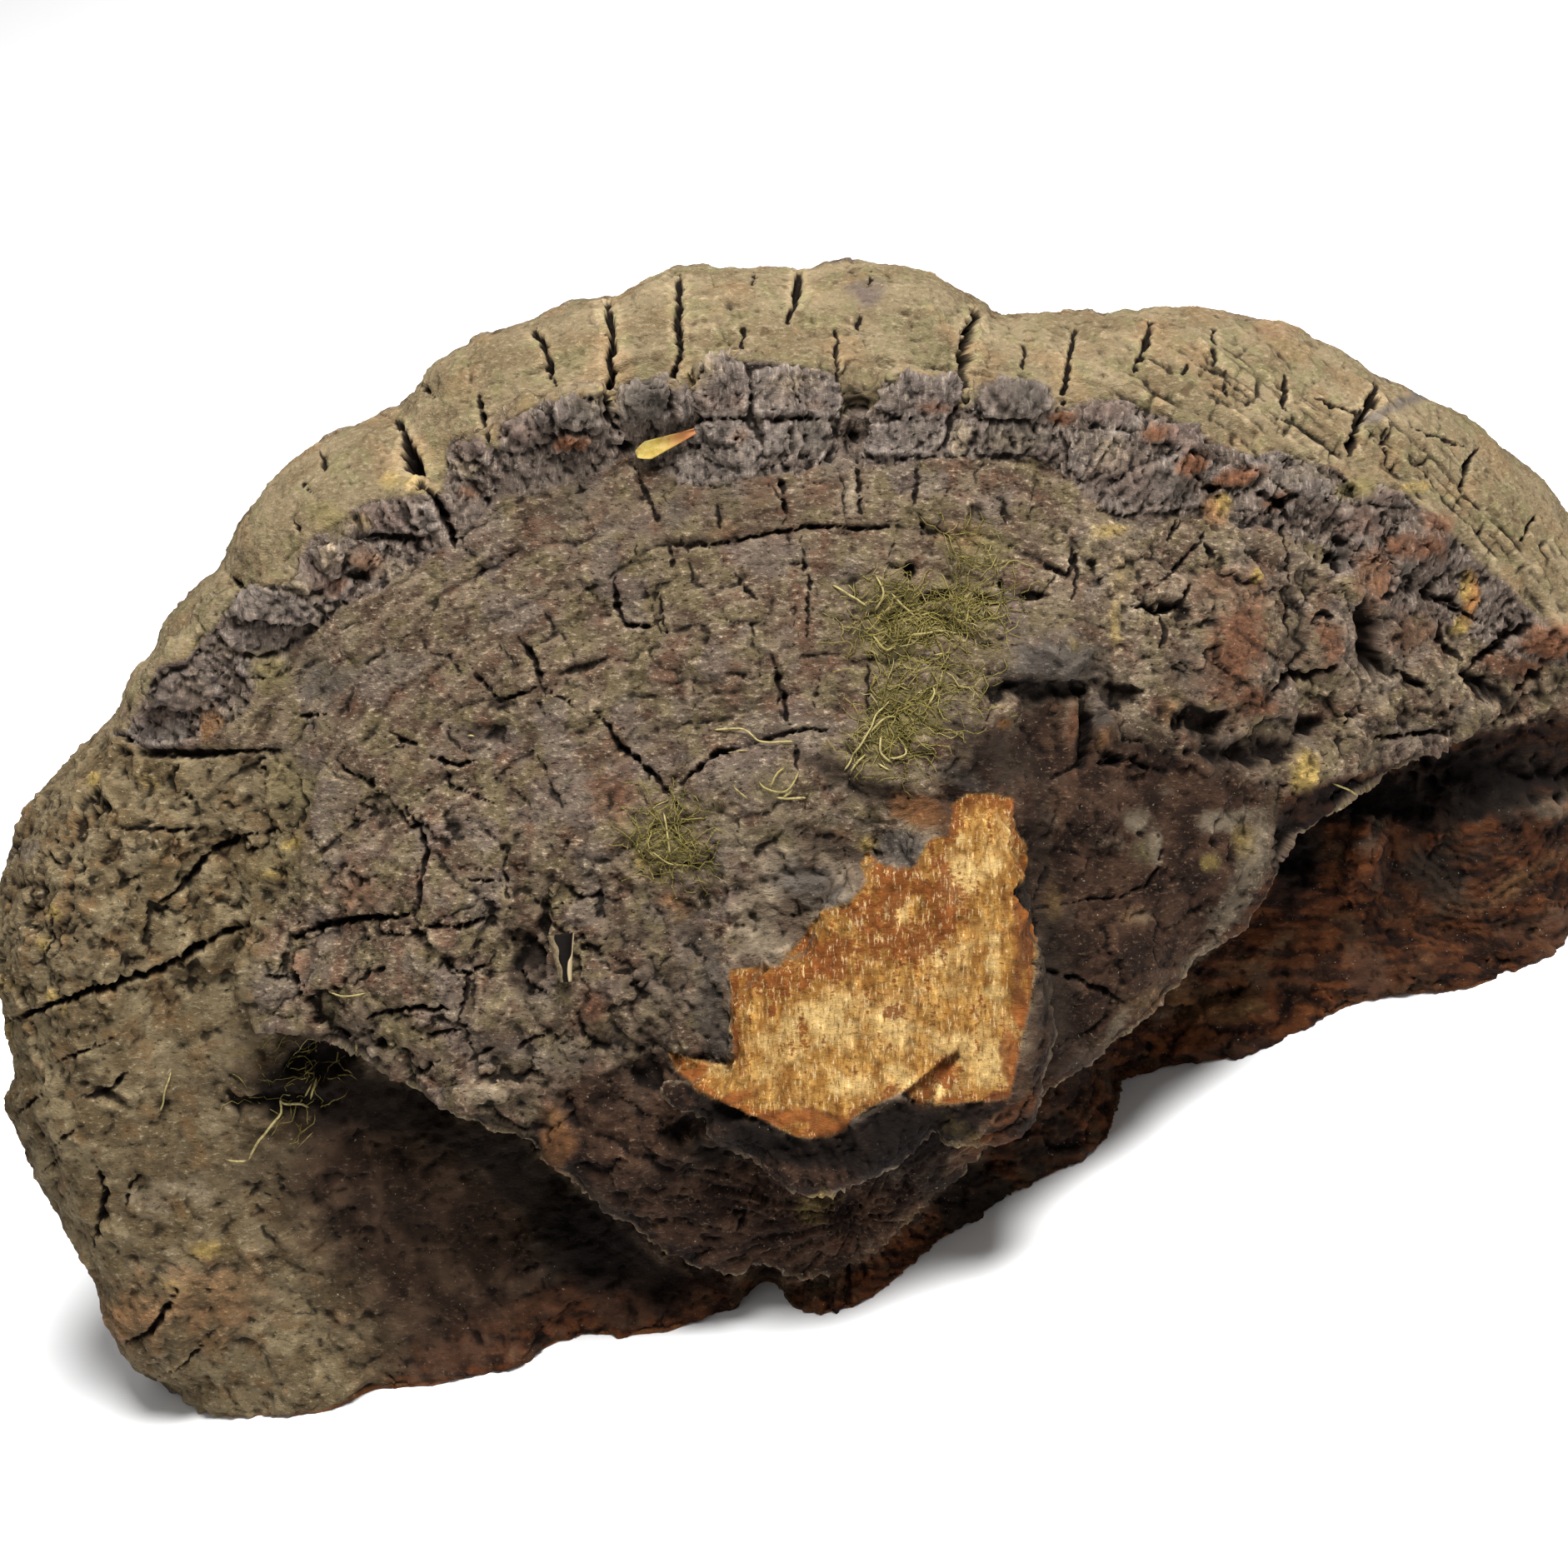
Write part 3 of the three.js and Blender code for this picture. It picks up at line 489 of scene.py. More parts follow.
def mark_at_least(name, chosen, amount):
    """Raises a mark to this amount on the chosen vertices that have less of it."""
    values = marks.setdefault(name, np.zeros(len(place)))
    values[chosen] = np.maximum(values[chosen], amount)


for near, covered, height in spots_over(LUMPS, 0.2, 0.5):
    lift[near] += height * covered
for near, covered, depth in spots_over(PITS, 0.6, 0.55):
    covered *= 1 - marks["golden"][near]
    lift[near] -= depth * covered
    # The pits are also darkened as painted shade, more the deeper they are.
    mark_at_least("hollow", near, min(1, depth / 2) * covered)

# The cracks. The bracket dried out from its rim inwards, and split along the lines of its growth.
# Each is its width and depth in the middle, then the pixels it runs through.
MARGIN_CRACKS = [
    (0.6, 2.0, [(638, 391), (654, 416), (661, 447), (667, 463)]),
    (0.7, 3.0, [(727, 355), (736, 403), (732, 434), (732, 479), (734, 505), (752, 532)]),
    (0.7, 2.5, [(814, 325), (814, 389), (817, 420), (808, 452), (805, 492)]),
    (0.4, 1.0, [(905, 322), (903, 345)]),
    (0.4, 1.0, [(892, 392), (892, 422)]),
    (0.7, 2.0, [(960, 322), (955, 358), (946, 385)]),
    (0.4, 1.0, [(1046, 318), (1046, 342)]),
    (0.35, 0.8, [(1031, 371), (1031, 403)]),
    (0.4, 1.2, [(1004, 396), (1004, 447), (1011, 479)]),
    (1.5, 4.5, [(1178, 372), (1165, 403), (1160, 443), (1158, 482)]),
    (0.5, 1.6, [(1290, 390), (1283, 429), (1276, 479), (1274, 498)]),
    (0.35, 0.8, [(1229, 403), (1227, 447)]),
    (0.8, 2.0, [(1382, 384), (1372, 416), (1361, 448)]),
    (0.5, 1.5, [(1457, 394), (1457, 438)]),
    (0.4, 1.0, [(1425, 435), (1419, 452)]),
    (0.4, 1.0, [(1472, 445), (1472, 476)]),
    (0.5, 1.0, [(1546, 445), (1540, 470), (1545, 495)]),
    (1.2, 3.0, [(1653, 455), (1649, 479), (1633, 501), (1624, 532), (1620, 548)]),
    (0.8, 1.5, [(1646, 490), (1629, 494), (1602, 483), (1579, 474)]),
    (0.8, 2.0, [(1776, 535), (1763, 559), (1756, 588)]),
    (0.5, 1.2, [(1845, 618), (1825, 652)]),
    (0.4, 1.0, [(1695, 512), (1730, 522), (1765, 535)]),
    (0.4, 0.8, [(1668, 500), (1664, 530), (1668, 560)]),
    (1.1, 3.5, [(475, 497), (484, 520), (491, 541), (504, 572), (527, 604), (540, 635), (547, 660)]),
    (0.6, 1.6, [(571, 470), (580, 505), (587, 534)]),
    (0.4, 1.0, [(504, 459), (518, 476)]),
    (0.5, 1.0, [(379, 539), (393, 565)]),
    (0.35, 0.8, [(360, 575), (372, 592)]),
    (0.35, 0.8, [(350, 620), (362, 645)]),
    (0.4, 0.8, [(286, 615), (303, 628)]),
    (0.5, 1.2, [(272, 688), (290, 705)]),
    (0.6, 1.4, [(132, 878), (168, 892)]),
]
CAP_CRACKS = [
    (0.5, 1.2, [(800, 655), (850, 656), (890, 648), (930, 640), (962, 633), (1000, 632), (1060, 635), (1082, 629)]),
    (0.6, 1.4, [(935, 566), (942, 604), (944, 632)]),
    (0.6, 1.4, [(1029, 548), (1031, 595), (1035, 628)]),
    (0.5, 1.0, [(963, 636), (966, 688), (971, 697), (966, 766)]),
    (0.5, 1.0, [(1104, 552), (1096, 610)]),
    (0.5, 1.2, [(1106, 612), (1108, 646)]),
    (0.6, 1.2, [(762, 561), (775, 590), (785, 615), (796, 636)]),
    (0.4, 0.9, [(801, 646), (808, 686)]),
    (0.5, 1.0, [(860, 605), (866, 641)]),
    (0.6, 1.2, [(882, 686), (890, 705), (912, 722)]),
    (0.7, 1.6, [(738, 691), (740, 720), (745, 740), (754, 751), (782, 752), (796, 744)]),
    (0.5, 1.2, [(787, 700), (793, 720), (797, 740), (803, 767)]),
    (0.8, 1.8, [(622, 764), (640, 790), (650, 815), (656, 829)]),
    (0.6, 1.3, [(567, 802), (580, 820), (597, 843)]),
    (0.6, 1.3, [(597, 843), (622, 833), (652, 824)]),
    (0.4, 0.9, [(656, 829), (680, 840), (697, 852)]),
    (0.5, 1.0, [(351, 856), (395, 858)]),
    (0.5, 1.0, [(400, 912), (420, 925), (440, 937), (460, 950)]),
    (0.5, 1.0, [(466, 878), (490, 890), (506, 895)]),
    (0.7, 1.4, [(511, 904), (530, 912), (542, 920), (558, 916), (578, 908)]),
    (0.5, 1.0, [(536, 918), (540, 943), (560, 950), (600, 965)]),
    (0.7, 1.6, [(714, 852), (730, 870), (745, 896), (770, 915), (790, 935), (802, 952), (820, 974)]),
    (0.8, 1.6, [(812, 945), (837, 925), (864, 903), (890, 898)]),
    (0.6, 1.4, [(903, 891), (930, 884), (957, 877), (1000, 872)]),
    (0.6, 1.4, [(925, 786), (932, 810), (941, 840), (944, 862), (950, 880)]),
    (0.4, 0.8, [(1042, 790), (1042, 870)]),
    (0.5, 1.0, [(957, 893), (957, 927)]),
    (1.0, 2.6, [(350, 1124), (375, 1116), (400, 1107), (440, 1100), (478, 1100), (499, 1098)]),
    (0.7, 1.6, [(499, 1098), (507, 1080), (508, 1050), (512, 1015), (502, 990), (484, 964)]),
    (0.6, 1.4, [(497, 1104), (515, 1111), (550, 1112), (585, 1106), (602, 1103)]),
    (0.4, 0.9, [(607, 1018), (608, 1060), (612, 1092)]),
    (0.4, 0.9, [(558, 1055), (580, 1057), (608, 1056)]),
    (0.6, 1.4, [(526, 1146), (546, 1165), (562, 1169), (578, 1161), (592, 1154)]),
    (0.5, 1.2, [(562, 1169), (562, 1190), (556, 1210), (553, 1228)]),
    (0.5, 1.0, [(428, 1182), (445, 1167), (474, 1158)]),
    (0.5, 1.0, [(320, 1170), (350, 1173)]),
    (0.7, 1.6, [(436, 1226), (460, 1216), (486, 1210), (540, 1212)]),
    (0.7, 1.4, [(486, 1302), (508, 1282), (532, 1269)]),
    (0.5, 1.0, [(500, 1249), (530, 1240), (558, 1233)]),
    (0.5, 1.0, [(558, 1276), (580, 1263), (594, 1254)]),
    (0.5, 1.0, [(618, 1260), (640, 1243), (658, 1244)]),
    (0.4, 0.9, [(660, 1090), (690, 1080), (720, 1075), (752, 1083)]),
    (0.9, 2.0, [(1243, 1159), (1290, 1175), (1320, 1190), (1352, 1206)]),
    (0.5, 1.0, [(1268, 1086), (1300, 1080), (1344, 1076), (1376, 1060), (1386, 1045), (1396, 1014), (1388, 998)]),
    (0.6, 1.2, [(1260, 935), (1290, 915), (1310, 905)]),
    (0.5, 1.0, [(1450, 625), (1440, 650), (1405, 690), (1375, 712)]),
    (0.5, 1.0, [(1410, 620), (1402, 650)]),
    (0.5, 1.0, [(1545, 620), (1535, 650), (1550, 700)]),
    (0.6, 1.2, [(1200, 690), (1204, 720)]),
    (0.6, 1.2, [(1288, 650), (1285, 690), (1262, 684)]),
    (0.7, 1.6, [(1700, 700), (1720, 715), (1750, 735), (1790, 750)]),
    (0.7, 1.6, [(1760, 800), (1790, 780), (1815, 752), (1800, 735)]),
    (0.7, 1.6, [(1640, 885), (1700, 880), (1740, 878)]),
    (0.5, 1.0, [(910, 1420), (895, 1450), (880, 1482)]),
    (0.4, 0.9, [(1004, 1440), (1010, 1470)]),
    (1.2, 2.0, [(1505, 590), (1520, 596), (1535, 605), (1545, 618)]),
    (0.8, 1.4, [(1398, 651), (1406, 640), (1415, 624)]),
    (1.0, 1.8, [(1357, 728), (1374, 726), (1391, 734), (1418, 721), (1428, 701)]),
    (0.9, 1.4, [(1394, 738), (1398, 761), (1390, 780)]),
    (0.8, 1.4, [(1287, 657), (1294, 687), (1285, 721)]),
    (0.7, 1.2, [(1250, 677), (1266, 682), (1280, 691)]),
    (1.4, 2.2, [(1525, 828), (1538, 818), (1552, 808), (1566, 812), (1580, 806), (1600, 796)]),
    (1.4, 2.2, [(1297, 848), (1304, 865), (1304, 882), (1297, 909)]),
    (1.3, 2.0, [(1310, 909), (1335, 914), (1357, 912), (1380, 922), (1398, 926)]),
    (1.3, 2.2, [(1586, 660), (1598, 674), (1603, 688)]),
    (1.8, 3.0, [(1634, 718), (1632, 742), (1638, 769), (1650, 790), (1662, 806)]),
    (1.0, 1.8, [(1652, 716), (1664, 713), (1676, 711)]),
    (1.2, 2.0, [(1706, 703), (1716, 716), (1730, 720), (1745, 723), (1754, 728)]),
    (1.4, 2.2, [(1728, 746), (1730, 760), (1740, 779), (1754, 793)]),
    (1.1, 2.0, [(1762, 801), (1788, 786), (1803, 771), (1832, 750), (1825, 728)]),
    (1.1, 2.0, [(1759, 803), (1764, 827), (1779, 842)]),
    (1.6, 2.4, [(1813, 832), (1827, 822), (1852, 803)]),
    (0.9, 1.6, [(1677, 805), (1691, 818), (1706, 822)]),
    (0.8, 1.4, [(1572, 745), (1586, 735), (1600, 742)]),
    (0.8, 1.4, [(1549, 721), (1542, 745), (1546, 766)]),
    (1.0, 1.6, [(1445, 650), (1452, 660), (1460, 668)]),
]
WING_CRACKS = [
    (1.1, 3.0, [(-30, 1228), (30, 1220), (80, 1201), (130, 1185), (190, 1165), (240, 1132), (322, 1099)]),
    (0.8, 1.6, [(180, 1088), (220, 1065), (250, 1026), (290, 1005), (322, 998)]),
    (0.5, 1.0, [(130, 992), (190, 996), (250, 995)]),
    (0.5, 1.0, [(240, 905), (290, 902), (345, 900)]),
    (0.5, 1.0, [(60, 1280), (100, 1262), (136, 1243)]),
    (0.5, 1.0, [(12, 1346), (32, 1326), (52, 1314)]),
    (0.5, 1.0, [(60, 1382), (84, 1358), (102, 1348)]),
    (0.5, 1.0, [(52, 1404), (72, 1388)]),
    (0.7, 1.4, [(95, 1314), (120, 1318), (145, 1297), (152, 1283)]),
    (1.0, 2.0, [(116, 1400), (125, 1430), (120, 1460), (113, 1498)]),
    (0.5, 1.0, [(150, 1452), (158, 1422), (172, 1408)]),
    (0.8, 1.8, [(215, 1538), (205, 1562), (190, 1586), (172, 1602), (148, 1613)]),
    (0.6, 1.2, [(192, 1652), (215, 1640), (247, 1614)]),
    (0.5, 1.0, [(60, 1095), (60, 1120), (52, 1160)]),
]
CRACK_STEP = 1.5  # pixels between the points that a crack's line is made of
CRACK_WANDER = 3.0  # how many pixels a crack strays from its marks
CRACK_SHOULDER = 1.6  # the surface sinks towards a crack over this many times its width
FINE = 0.72  # the cracks of the cap and the wings are narrower than their marks by this much
RIM_LINE = 400  # a crack of the margin that begins above this pixel is open at the rim


def nearest_tree(points):
    """Points as a tree in which the nearest to a place is found."""
    made = KDTree(len(points))
    for number, point in enumerate(points):
        made.insert(point, number)
    made.balance()
    return made


def measured(line):
    """A line's corners, and how far along it each of them is."""
    corners = np.array(line, float)
    lengths = np.linalg.norm(np.diff(corners, axis=0), axis=1)
    return corners, np.concatenate([[0], np.cumsum(lengths)])


crack_points = []
crack_sizes = []
for number, (width, depth, line) in enumerate(MARGIN_CRACKS + CAP_CRACKS + WING_CRACKS):
    on_rim = number < len(MARGIN_CRACKS)
    corners, reach = measured(line)
    along = np.arange(0, reach[-1], CRACK_STEP)
    route = np.stack([np.interp(along, reach, corners[:, axis]) for axis in range(2)], 1)
    stray = np.stack([along / 14, np.full(len(along), number * 3.7), np.zeros(len(along))], 1)
    way = (corners[-1] - corners[0]) / np.linalg.norm(corners[-1] - corners[0])
    route += np.outer(CRACK_WANDER * rough(stray, 1, 3, 21), [-way[1], way[0]])
    taper = np.minimum(1, 0.3 + 3 * np.minimum(along, reach[-1] - along) / reach[-1])
    if on_rim and corners[0][1] < RIM_LINE:
        taper = np.minimum(1, 0.3 + 2 * (reach[-1] - along) / reach[-1])
    swell = taper * np.clip(1 + 0.8 * noise(stray * 1.7, 22), 0.15, 1.6) * (1 if on_rim else FINE)
    for pixel, size in zip(route, swell):
        seen = seen_at(pixel, base_skin)
        if seen:
            crack_points.append(seen[0])
            crack_sizes.append((width * size, depth * size))
crack_tree = nearest_tree(crack_points)
found = [crack_tree.find(point)[1:] for point in place[front]]
crack_width, crack_depth = np.array(crack_sizes)[[number for number, _ in found]].T
crack_gap = np.array([gap for _, gap in found]) * (1 + 0.5 * rough(place[front], 0.9, 3, 23))
# The cracks are cut into the surface and also darkened as painted shade.
mark_at_least("crack", front, smooth(0.85, 0.35, crack_gap / crack_width))
shoulder = 0.2 * np.sqrt(crack_width) * np.exp(-crack_gap / (CRACK_SHOULDER * np.sqrt(crack_width)))
lift[front] -= crack_depth * smooth(0.7, 0.1, crack_gap / crack_width) + shoulder

# The old cap's skin. It is gritty all over, and drying has split it into plates. High on the cap they are low
# blocks in yearly rows. Low on the hump and to the right they are thick, tilted and worn round.
ROWS = (((6.8, 4.6), 1.0, 32), ((3.0, 1.9), 0.25, 36))  # width and height of the blocks, strength and seed
# Size of the plates, how far they stand out, how far their edges stray, and seed.
SKIN_PLATES = (((8.5, 6.5, 7), 1.2, 1.8, 37), ((3.8, 3.0, 3.4), 0.35, 0.9, 41), ((1.6, 1.3, 1.4), 0.12, 0.5, 45))
COVERED = 0.02  # a vertex with less of a mark than this is left alone
HUMP = [
    (330, 1100), (370, 990), (450, 950), (600, 990), (760, 1060), (880, 1060), (870, 1330), (700, 1440), (560, 1350),
    (370, 1250), (290, 1200),
]
RIGHT_CAP = [
    (1290, 640), (1450, 600), (1640, 640), (1800, 720), (1990, 800), (1990, 880), (1740, 890), (1600, 940),
    (1500, 1100), (1340, 1250), (1230, 1320), (1230, 850), (1330, 760),
]


def cells(points, size, seed=0):
    """Splits space into blocks. Gives the distance to the nearest border between two, a number for the block from
    0 to 1, and how high the block's own slope is at the point, from about -1 to 1."""
    points = (points / size).astype(np.float32)
    home = np.floor(points).astype(np.int32)
    first = np.full(len(points), 9.0, np.float32)
    second = first.copy()
    label = np.zeros(len(points), np.int32)
    middle = points.copy()
    for step in np.ndindex(3, 3, 3):
        block = home + np.array(step, np.int32) - 1
        key = shuffle[(block[:, 0] + 31 * seed) & 255]
        key = shuffle[(key + block[:, 1]) & 255]
        key = shuffle[(key + block[:, 2]) & 255]
        centre = block + 0.5 + 0.7 * np.clip(slopes[key], -0.6, 0.6)
        gap = np.sqrt(((points - centre) ** 2).sum(1))
        closer = gap < first
        second = np.where(closer, first, np.minimum(second, gap))
        label[closer] = key[closer]
        middle[closer] = centre[closer]
        first = np.where(closer, gap, first)
    tilt = ((points - middle) * slopes[(label + 57) & 255]).sum(1)
    return (second - first) * np.min(size) / 2, label / 255, 2 * tilt


def splits(points, width, height, seed):
    """A surface that dried into rows of blocks. Gives the distance in millimetres to the nearest split between two
    blocks of a row, the distance to the nearest split between rows, and a number for the block from 0 to 1."""
    row_place = points[:, 1] / height + 0.35 * rough(points, 9, 3, seed)
    row = np.floor(row_place)
    shift = shuffle[(row.astype(int) + 31 * seed) & 255] / 255
    column_place = points[:, 0] / width + shift + 0.3 * rough(points, 7, 3, seed + 3)
    column = np.floor(column_place)
    across = np.minimum(column_place - column, 1 + column - column_place) * width
    along = np.minimum(row_place - row, 1 + row - row_place) * height
    return across, along, shuffle[(shuffle[row.astype(int) & 255] + column.astype(int)) & 255] / 255


def plates(chosen, size, strays, seed):
    """Plates over the chosen vertices: the distance to a plate's border, and its height from its number and tilt."""
    drift = np.stack([rough(place[chosen], size[0] / 2, 3, seed + axis) for axis in range(3)], 1)
    edge, number, tilt = cells(around[chosen] + strays * drift, np.array(size, float), seed)
    return edge, (number - 0.5) + 0.55 * tilt


skin_share = (1 - marks["margin"]) * (1 - marks["golden"]) * (1 - marks["pores"]) * (1 - marks["cut"])
skin_share *= (1 - marks["crust"]) * (1 - 0.5 * marks["wing"])
on_skin = np.nonzero(skin_share > COVERED)[0]
skin_share = skin_share[on_skin]
wing, dark, foot = (marks[name][on_skin] for name in ("wing", "dark", "foot"))
thick = np.maximum(zone(HUMP, 90, 12), zone(RIGHT_CAP, 90, 12))[on_skin]
thick = np.maximum(0.8 * thick * (1 - 0.5 * dark), 0.4 * np.maximum(dark, foot))
cracked = smooth(-0.1, 0.35, rough(place[on_skin], 5, 3, 33))
flat = skin_share * (1 - 0.7 * thick) * ((1 - wing) * (1 - dark) * (1 - foot))
for (width, tall), depth, seed in ROWS:
    across, along, number = splits(around[on_skin], width, tall, seed)
    step = 0.5 * (number - 0.5) + 0.28 * smooth(0, 0.3 * tall, along) + 0.12 * smooth(0, 0.3 * width, across)
    row_split = smooth(-0.1, 0.4, rough(place[on_skin], 4, 3, seed + 8))
    step -= 0.35 * cracked * smooth(0.4, 0.0, across) + 0.3 * row_split * smooth(0.4, 0.0, along)
    lift[on_skin] += flat * depth * step
    # The splits between blocks and plates are darkened as painted shade.
    split = np.maximum(cracked * smooth(0.3, 0.08, across), 0.7 * row_split * smooth(0.26, 0.06, along))
    mark_at_least("crack", on_skin, 0.75 * flat * math.sqrt(depth) * split)
for size, depth, strays, seed in SKIN_PLATES:
    edge, height = plates(on_skin, size, strays, seed)
    strength = skin_share * (0.12 + 0.78 * thick)
    lift[on_skin] += strength * depth * (height - 0.35 * smooth(0.14 * size[1], 0.0, edge))
    split = smooth(0.05 * size[1], 0.01 * size[1], edge)
    split = split * smooth(-0.2, 0.4, rough(place[on_skin], size[0], 2, seed + 9))
    mark_at_least("crack", on_skin, min(0.8, 0.12 * size[0]) * strength * split)
fine = 0.22 * rough(around[on_skin], (2.6, 0.7, 1.5), 3, 35) + 0.12 * rough(place[on_skin], 0.9, 2, 49)
lift[on_skin] += skin_share * (1 - 0.7 * wing) * (0.45 * rough(around[on_skin], (7, 4, 5), 3, 34) + fine)

# The margin. It is finer than the cap, with low yearly waves along the rim, a fine grain, and a net of hair cracks
# at its right.
MARGIN_ROWS = ((4.6, 2.4, 0.6, 54), (2.4, 1.4, 0.3, 57))  # width and height of the blocks, strength and seed
NET = [
    (1330, 440), (1500, 400), (1640, 470), (1760, 540), (1860, 620), (1990, 700), (1990, 780), (1800, 690),
    (1640, 590), (1440, 520), (1330, 490),
]


def covered_by(name):
    """The vertices that have some of a mark, and how much of it each has."""
    chosen = np.nonzero(marks[name] > COVERED)[0]
    return chosen, marks[name][chosen]


on_margin, share = covered_by("margin")
waves = 0.45 * rough(around[on_margin], (9, 1.8, 6), 4, 51)
lift[on_margin] += share * (waves + 0.2 * rough(place[on_margin], 1.0, 3, 52))
net = share * np.maximum(zone(NET, 80, 20), 0.45 * faces_camera)[on_margin]
net *= smooth(-0.4, 0.25, rough(place[on_margin], 6, 3, 56))
for width, tall, depth, seed in MARGIN_ROWS:
    across, along, number = splits(around[on_margin], width, tall, seed)
    lift[on_margin] += (0.3 * share + 0.5 * net) * depth * (number - 0.5)
    lift[on_margin] -= net * depth * smooth(0.4, 0.0, np.minimum(across, along))
    split = np.maximum(smooth(0.28, 0.06, along), 0.9 * smooth(0.26, 0.06, across))
    # The hair cracks of the net are darkened as painted shade.
    mark_at_least("crack", on_margin, 0.62 * net * split)

# The crust ring. Where the cap's edge broke, its crust stands up in chunks with fine upright grooves.
# Each chunk is how far it stands out in millimetres, then its outline.
CHUNKS = [
    (0.9, [(155, 880), (165, 862), (200, 850), (226, 864), (222, 892), (180, 897)]),
    (0.8, [(188, 840), (192, 822), (215, 804), (255, 810), (266, 830), (245, 850), (215, 852)]),
    (1.1, [(272, 738), (298, 704), (352, 714), (386, 736), (380, 750), (340, 745), (310, 742)]),
    (0.7, [(262, 760), (300, 748), (352, 755), (342, 776), (312, 786), (280, 776)]),
    (0.5, [(280, 790), (320, 792), (345, 782), (350, 800), (320, 812), (290, 808)]),
    (1.1, [(353, 700), (370, 668), (396, 653), (412, 665), (406, 690), (385, 706), (364, 711)]),
    (0.9, [(418, 688), (425, 664), (446, 654), (462, 656), (452, 676), (432, 690)]),
    (0.6, [(383, 722), (398, 696), (422, 700), (412, 718)]),
    (1.0, [(428, 614), (444, 601), (466, 605), (472, 622), (492, 635), (514, 640), (500, 648), (465, 645),
        (440, 632)]),
    (0.7, [(492, 604), (518, 608), (528, 630), (512, 638), (494, 626)]),
    (0.9, [(552, 532), (570, 526), (592, 541), (586, 556), (558, 550)]),
    (0.6, [(543, 552), (570, 560), (582, 576), (552, 572)]),
    (0.9, [(598, 536), (604, 512), (640, 492), (660, 502), (656, 530), (622, 541)]),
    (1.0, [(664, 492), (690, 476), (716, 486), (722, 510), (690, 516), (668, 512)]),
    (0.9, [(664, 532), (680, 522), (708, 526), (706, 541), (672, 542)]),
    (0.6, [(744, 464), (800, 456), (804, 504), (766, 508), (746, 500)]),
    (0.8, [(811, 468), (832, 470), (830, 496), (812, 498)]),
    (1.6, [(838, 472), (846, 440), (868, 429), (890, 433), (898, 456), (897, 498), (850, 501), (838, 490)]),
    (1.5, [(902, 446), (940, 439), (1000, 452), (1009, 472), (1005, 499), (905, 499)]),
    (1.0, [(830, 530), (838, 508), (870, 502), (890, 504), (914, 540), (900, 561), (860, 556)]),
    (0.8, [(917, 506), (945, 509), (946, 541), (917, 546)]),
    (1.1, [(949, 506), (992, 502), (1002, 530), (985, 551), (951, 536)]),
    (0.6, [(810, 546), (850, 534), (920, 552), (905, 571), (860, 581), (815, 580)]),
    (1.4, [(1060, 470), (1086, 450), (1150, 459), (1153, 480), (1135, 500), (1085, 501), (1056, 490)]),
    (1.1, [(1038, 544), (1050, 512), (1085, 504), (1130, 501), (1136, 520), (1120, 546)]),
    (0.8, [(1136, 546), (1140, 520), (1150, 504), (1167, 505), (1168, 546)]),
    (1.4, [(1178, 496), (1182, 466), (1210, 459), (1240, 465), (1256, 484), (1240, 500), (1200, 500)]),
    (1.0, [(1172, 542), (1178, 506), (1232, 508), (1240, 524), (1226, 543)]),
    (0.8, [(1236, 545), (1246, 512), (1268, 520), (1276, 538), (1256, 550)]),
    (0.9, [(1300, 500), (1312, 482), (1345, 480), (1372, 496), (1370, 514), (1330, 512)]),
    (0.8, [(1280, 560), (1290, 520), (1330, 514), (1352, 522), (1340, 560), (1300, 572)]),
    (0.7, [(1374, 530), (1380, 508), (1402, 512), (1404, 530)]),
    (0.9, [(1404, 528), (1408, 506), (1440, 514), (1447, 536), (1420, 542)]),
    (1.2, [(1318, 610), (1330, 588), (1370, 560), (1404, 549), (1450, 588), (1442, 606), (1392, 610), (1350, 616)]),
    (1.0, [(1408, 548), (1420, 540), (1460, 560), (1510, 568), (1500, 584), (1450, 580)]),
    (1.0, [(1508, 590), (1520, 575), (1548, 598), (1556, 620), (1530, 612)]),
    (0.7, [(1490, 548), (1530, 543), (1572, 558), (1600, 588), (1588, 602), (1550, 590), (1510, 565)]),
    (0.8, [(1646, 604), (1652, 588), (1682, 589), (1690, 606)]),
    (0.8, [(1600, 640), (1606, 612), (1650, 606), (1660, 640), (1630, 652)]),
    (0.9, [(1596, 690), (1600, 652), (1618, 660), (1616, 694)]),
]
CHUNK_REACH = 110  # pixels from a chunk's middle within which it lies
CHUNK_WORN = 0.65  # share of a chunk's height that weather has left
CRUST_PLATES = (((2.6, 4.5, 4), 0.45, 0.7, 71), ((0.8, 2.6, 2.2), 0.4, 0.35, 74))
stray = rough(around, (0.5, 2.2, 3.0), 3, 64)
marks["border"] = zone(CRUST_TOP + CRUST_FOOT, 44, 6) * marks["margin"]
chunk_lift = np.zeros(len(place))
for height, outline in CHUNKS:
    near = front[(np.abs(front_pixels - np.mean(outline, 0)) < CHUNK_REACH).all(1)]
    depth = signed_depth(pixels[near], outline) * FIELD / PICTURE + 0.3 * stray[near] + 0.12
    on_chunk = smooth(-0.08, 0.12, depth)
    chunk_lift[near] = np.maximum(chunk_lift[near], on_chunk * height * CHUNK_WORN)
    lift[near] -= 0.18 * np.exp(-((depth + 0.2) / 0.2) ** 2) * (1 - on_chunk)
    mark_at_least("chunk", near, on_chunk)
    # A thin line of painted shade runs round each chunk.
    mark_at_least("crack", near, 0.22 * np.exp(-((depth + 0.16) / 0.12) ** 2) * (1 - on_chunk))
lift += chunk_lift
marks["crust"] = np.maximum(marks["crust"], marks["chunk"])
on_crust, share = covered_by("crust")
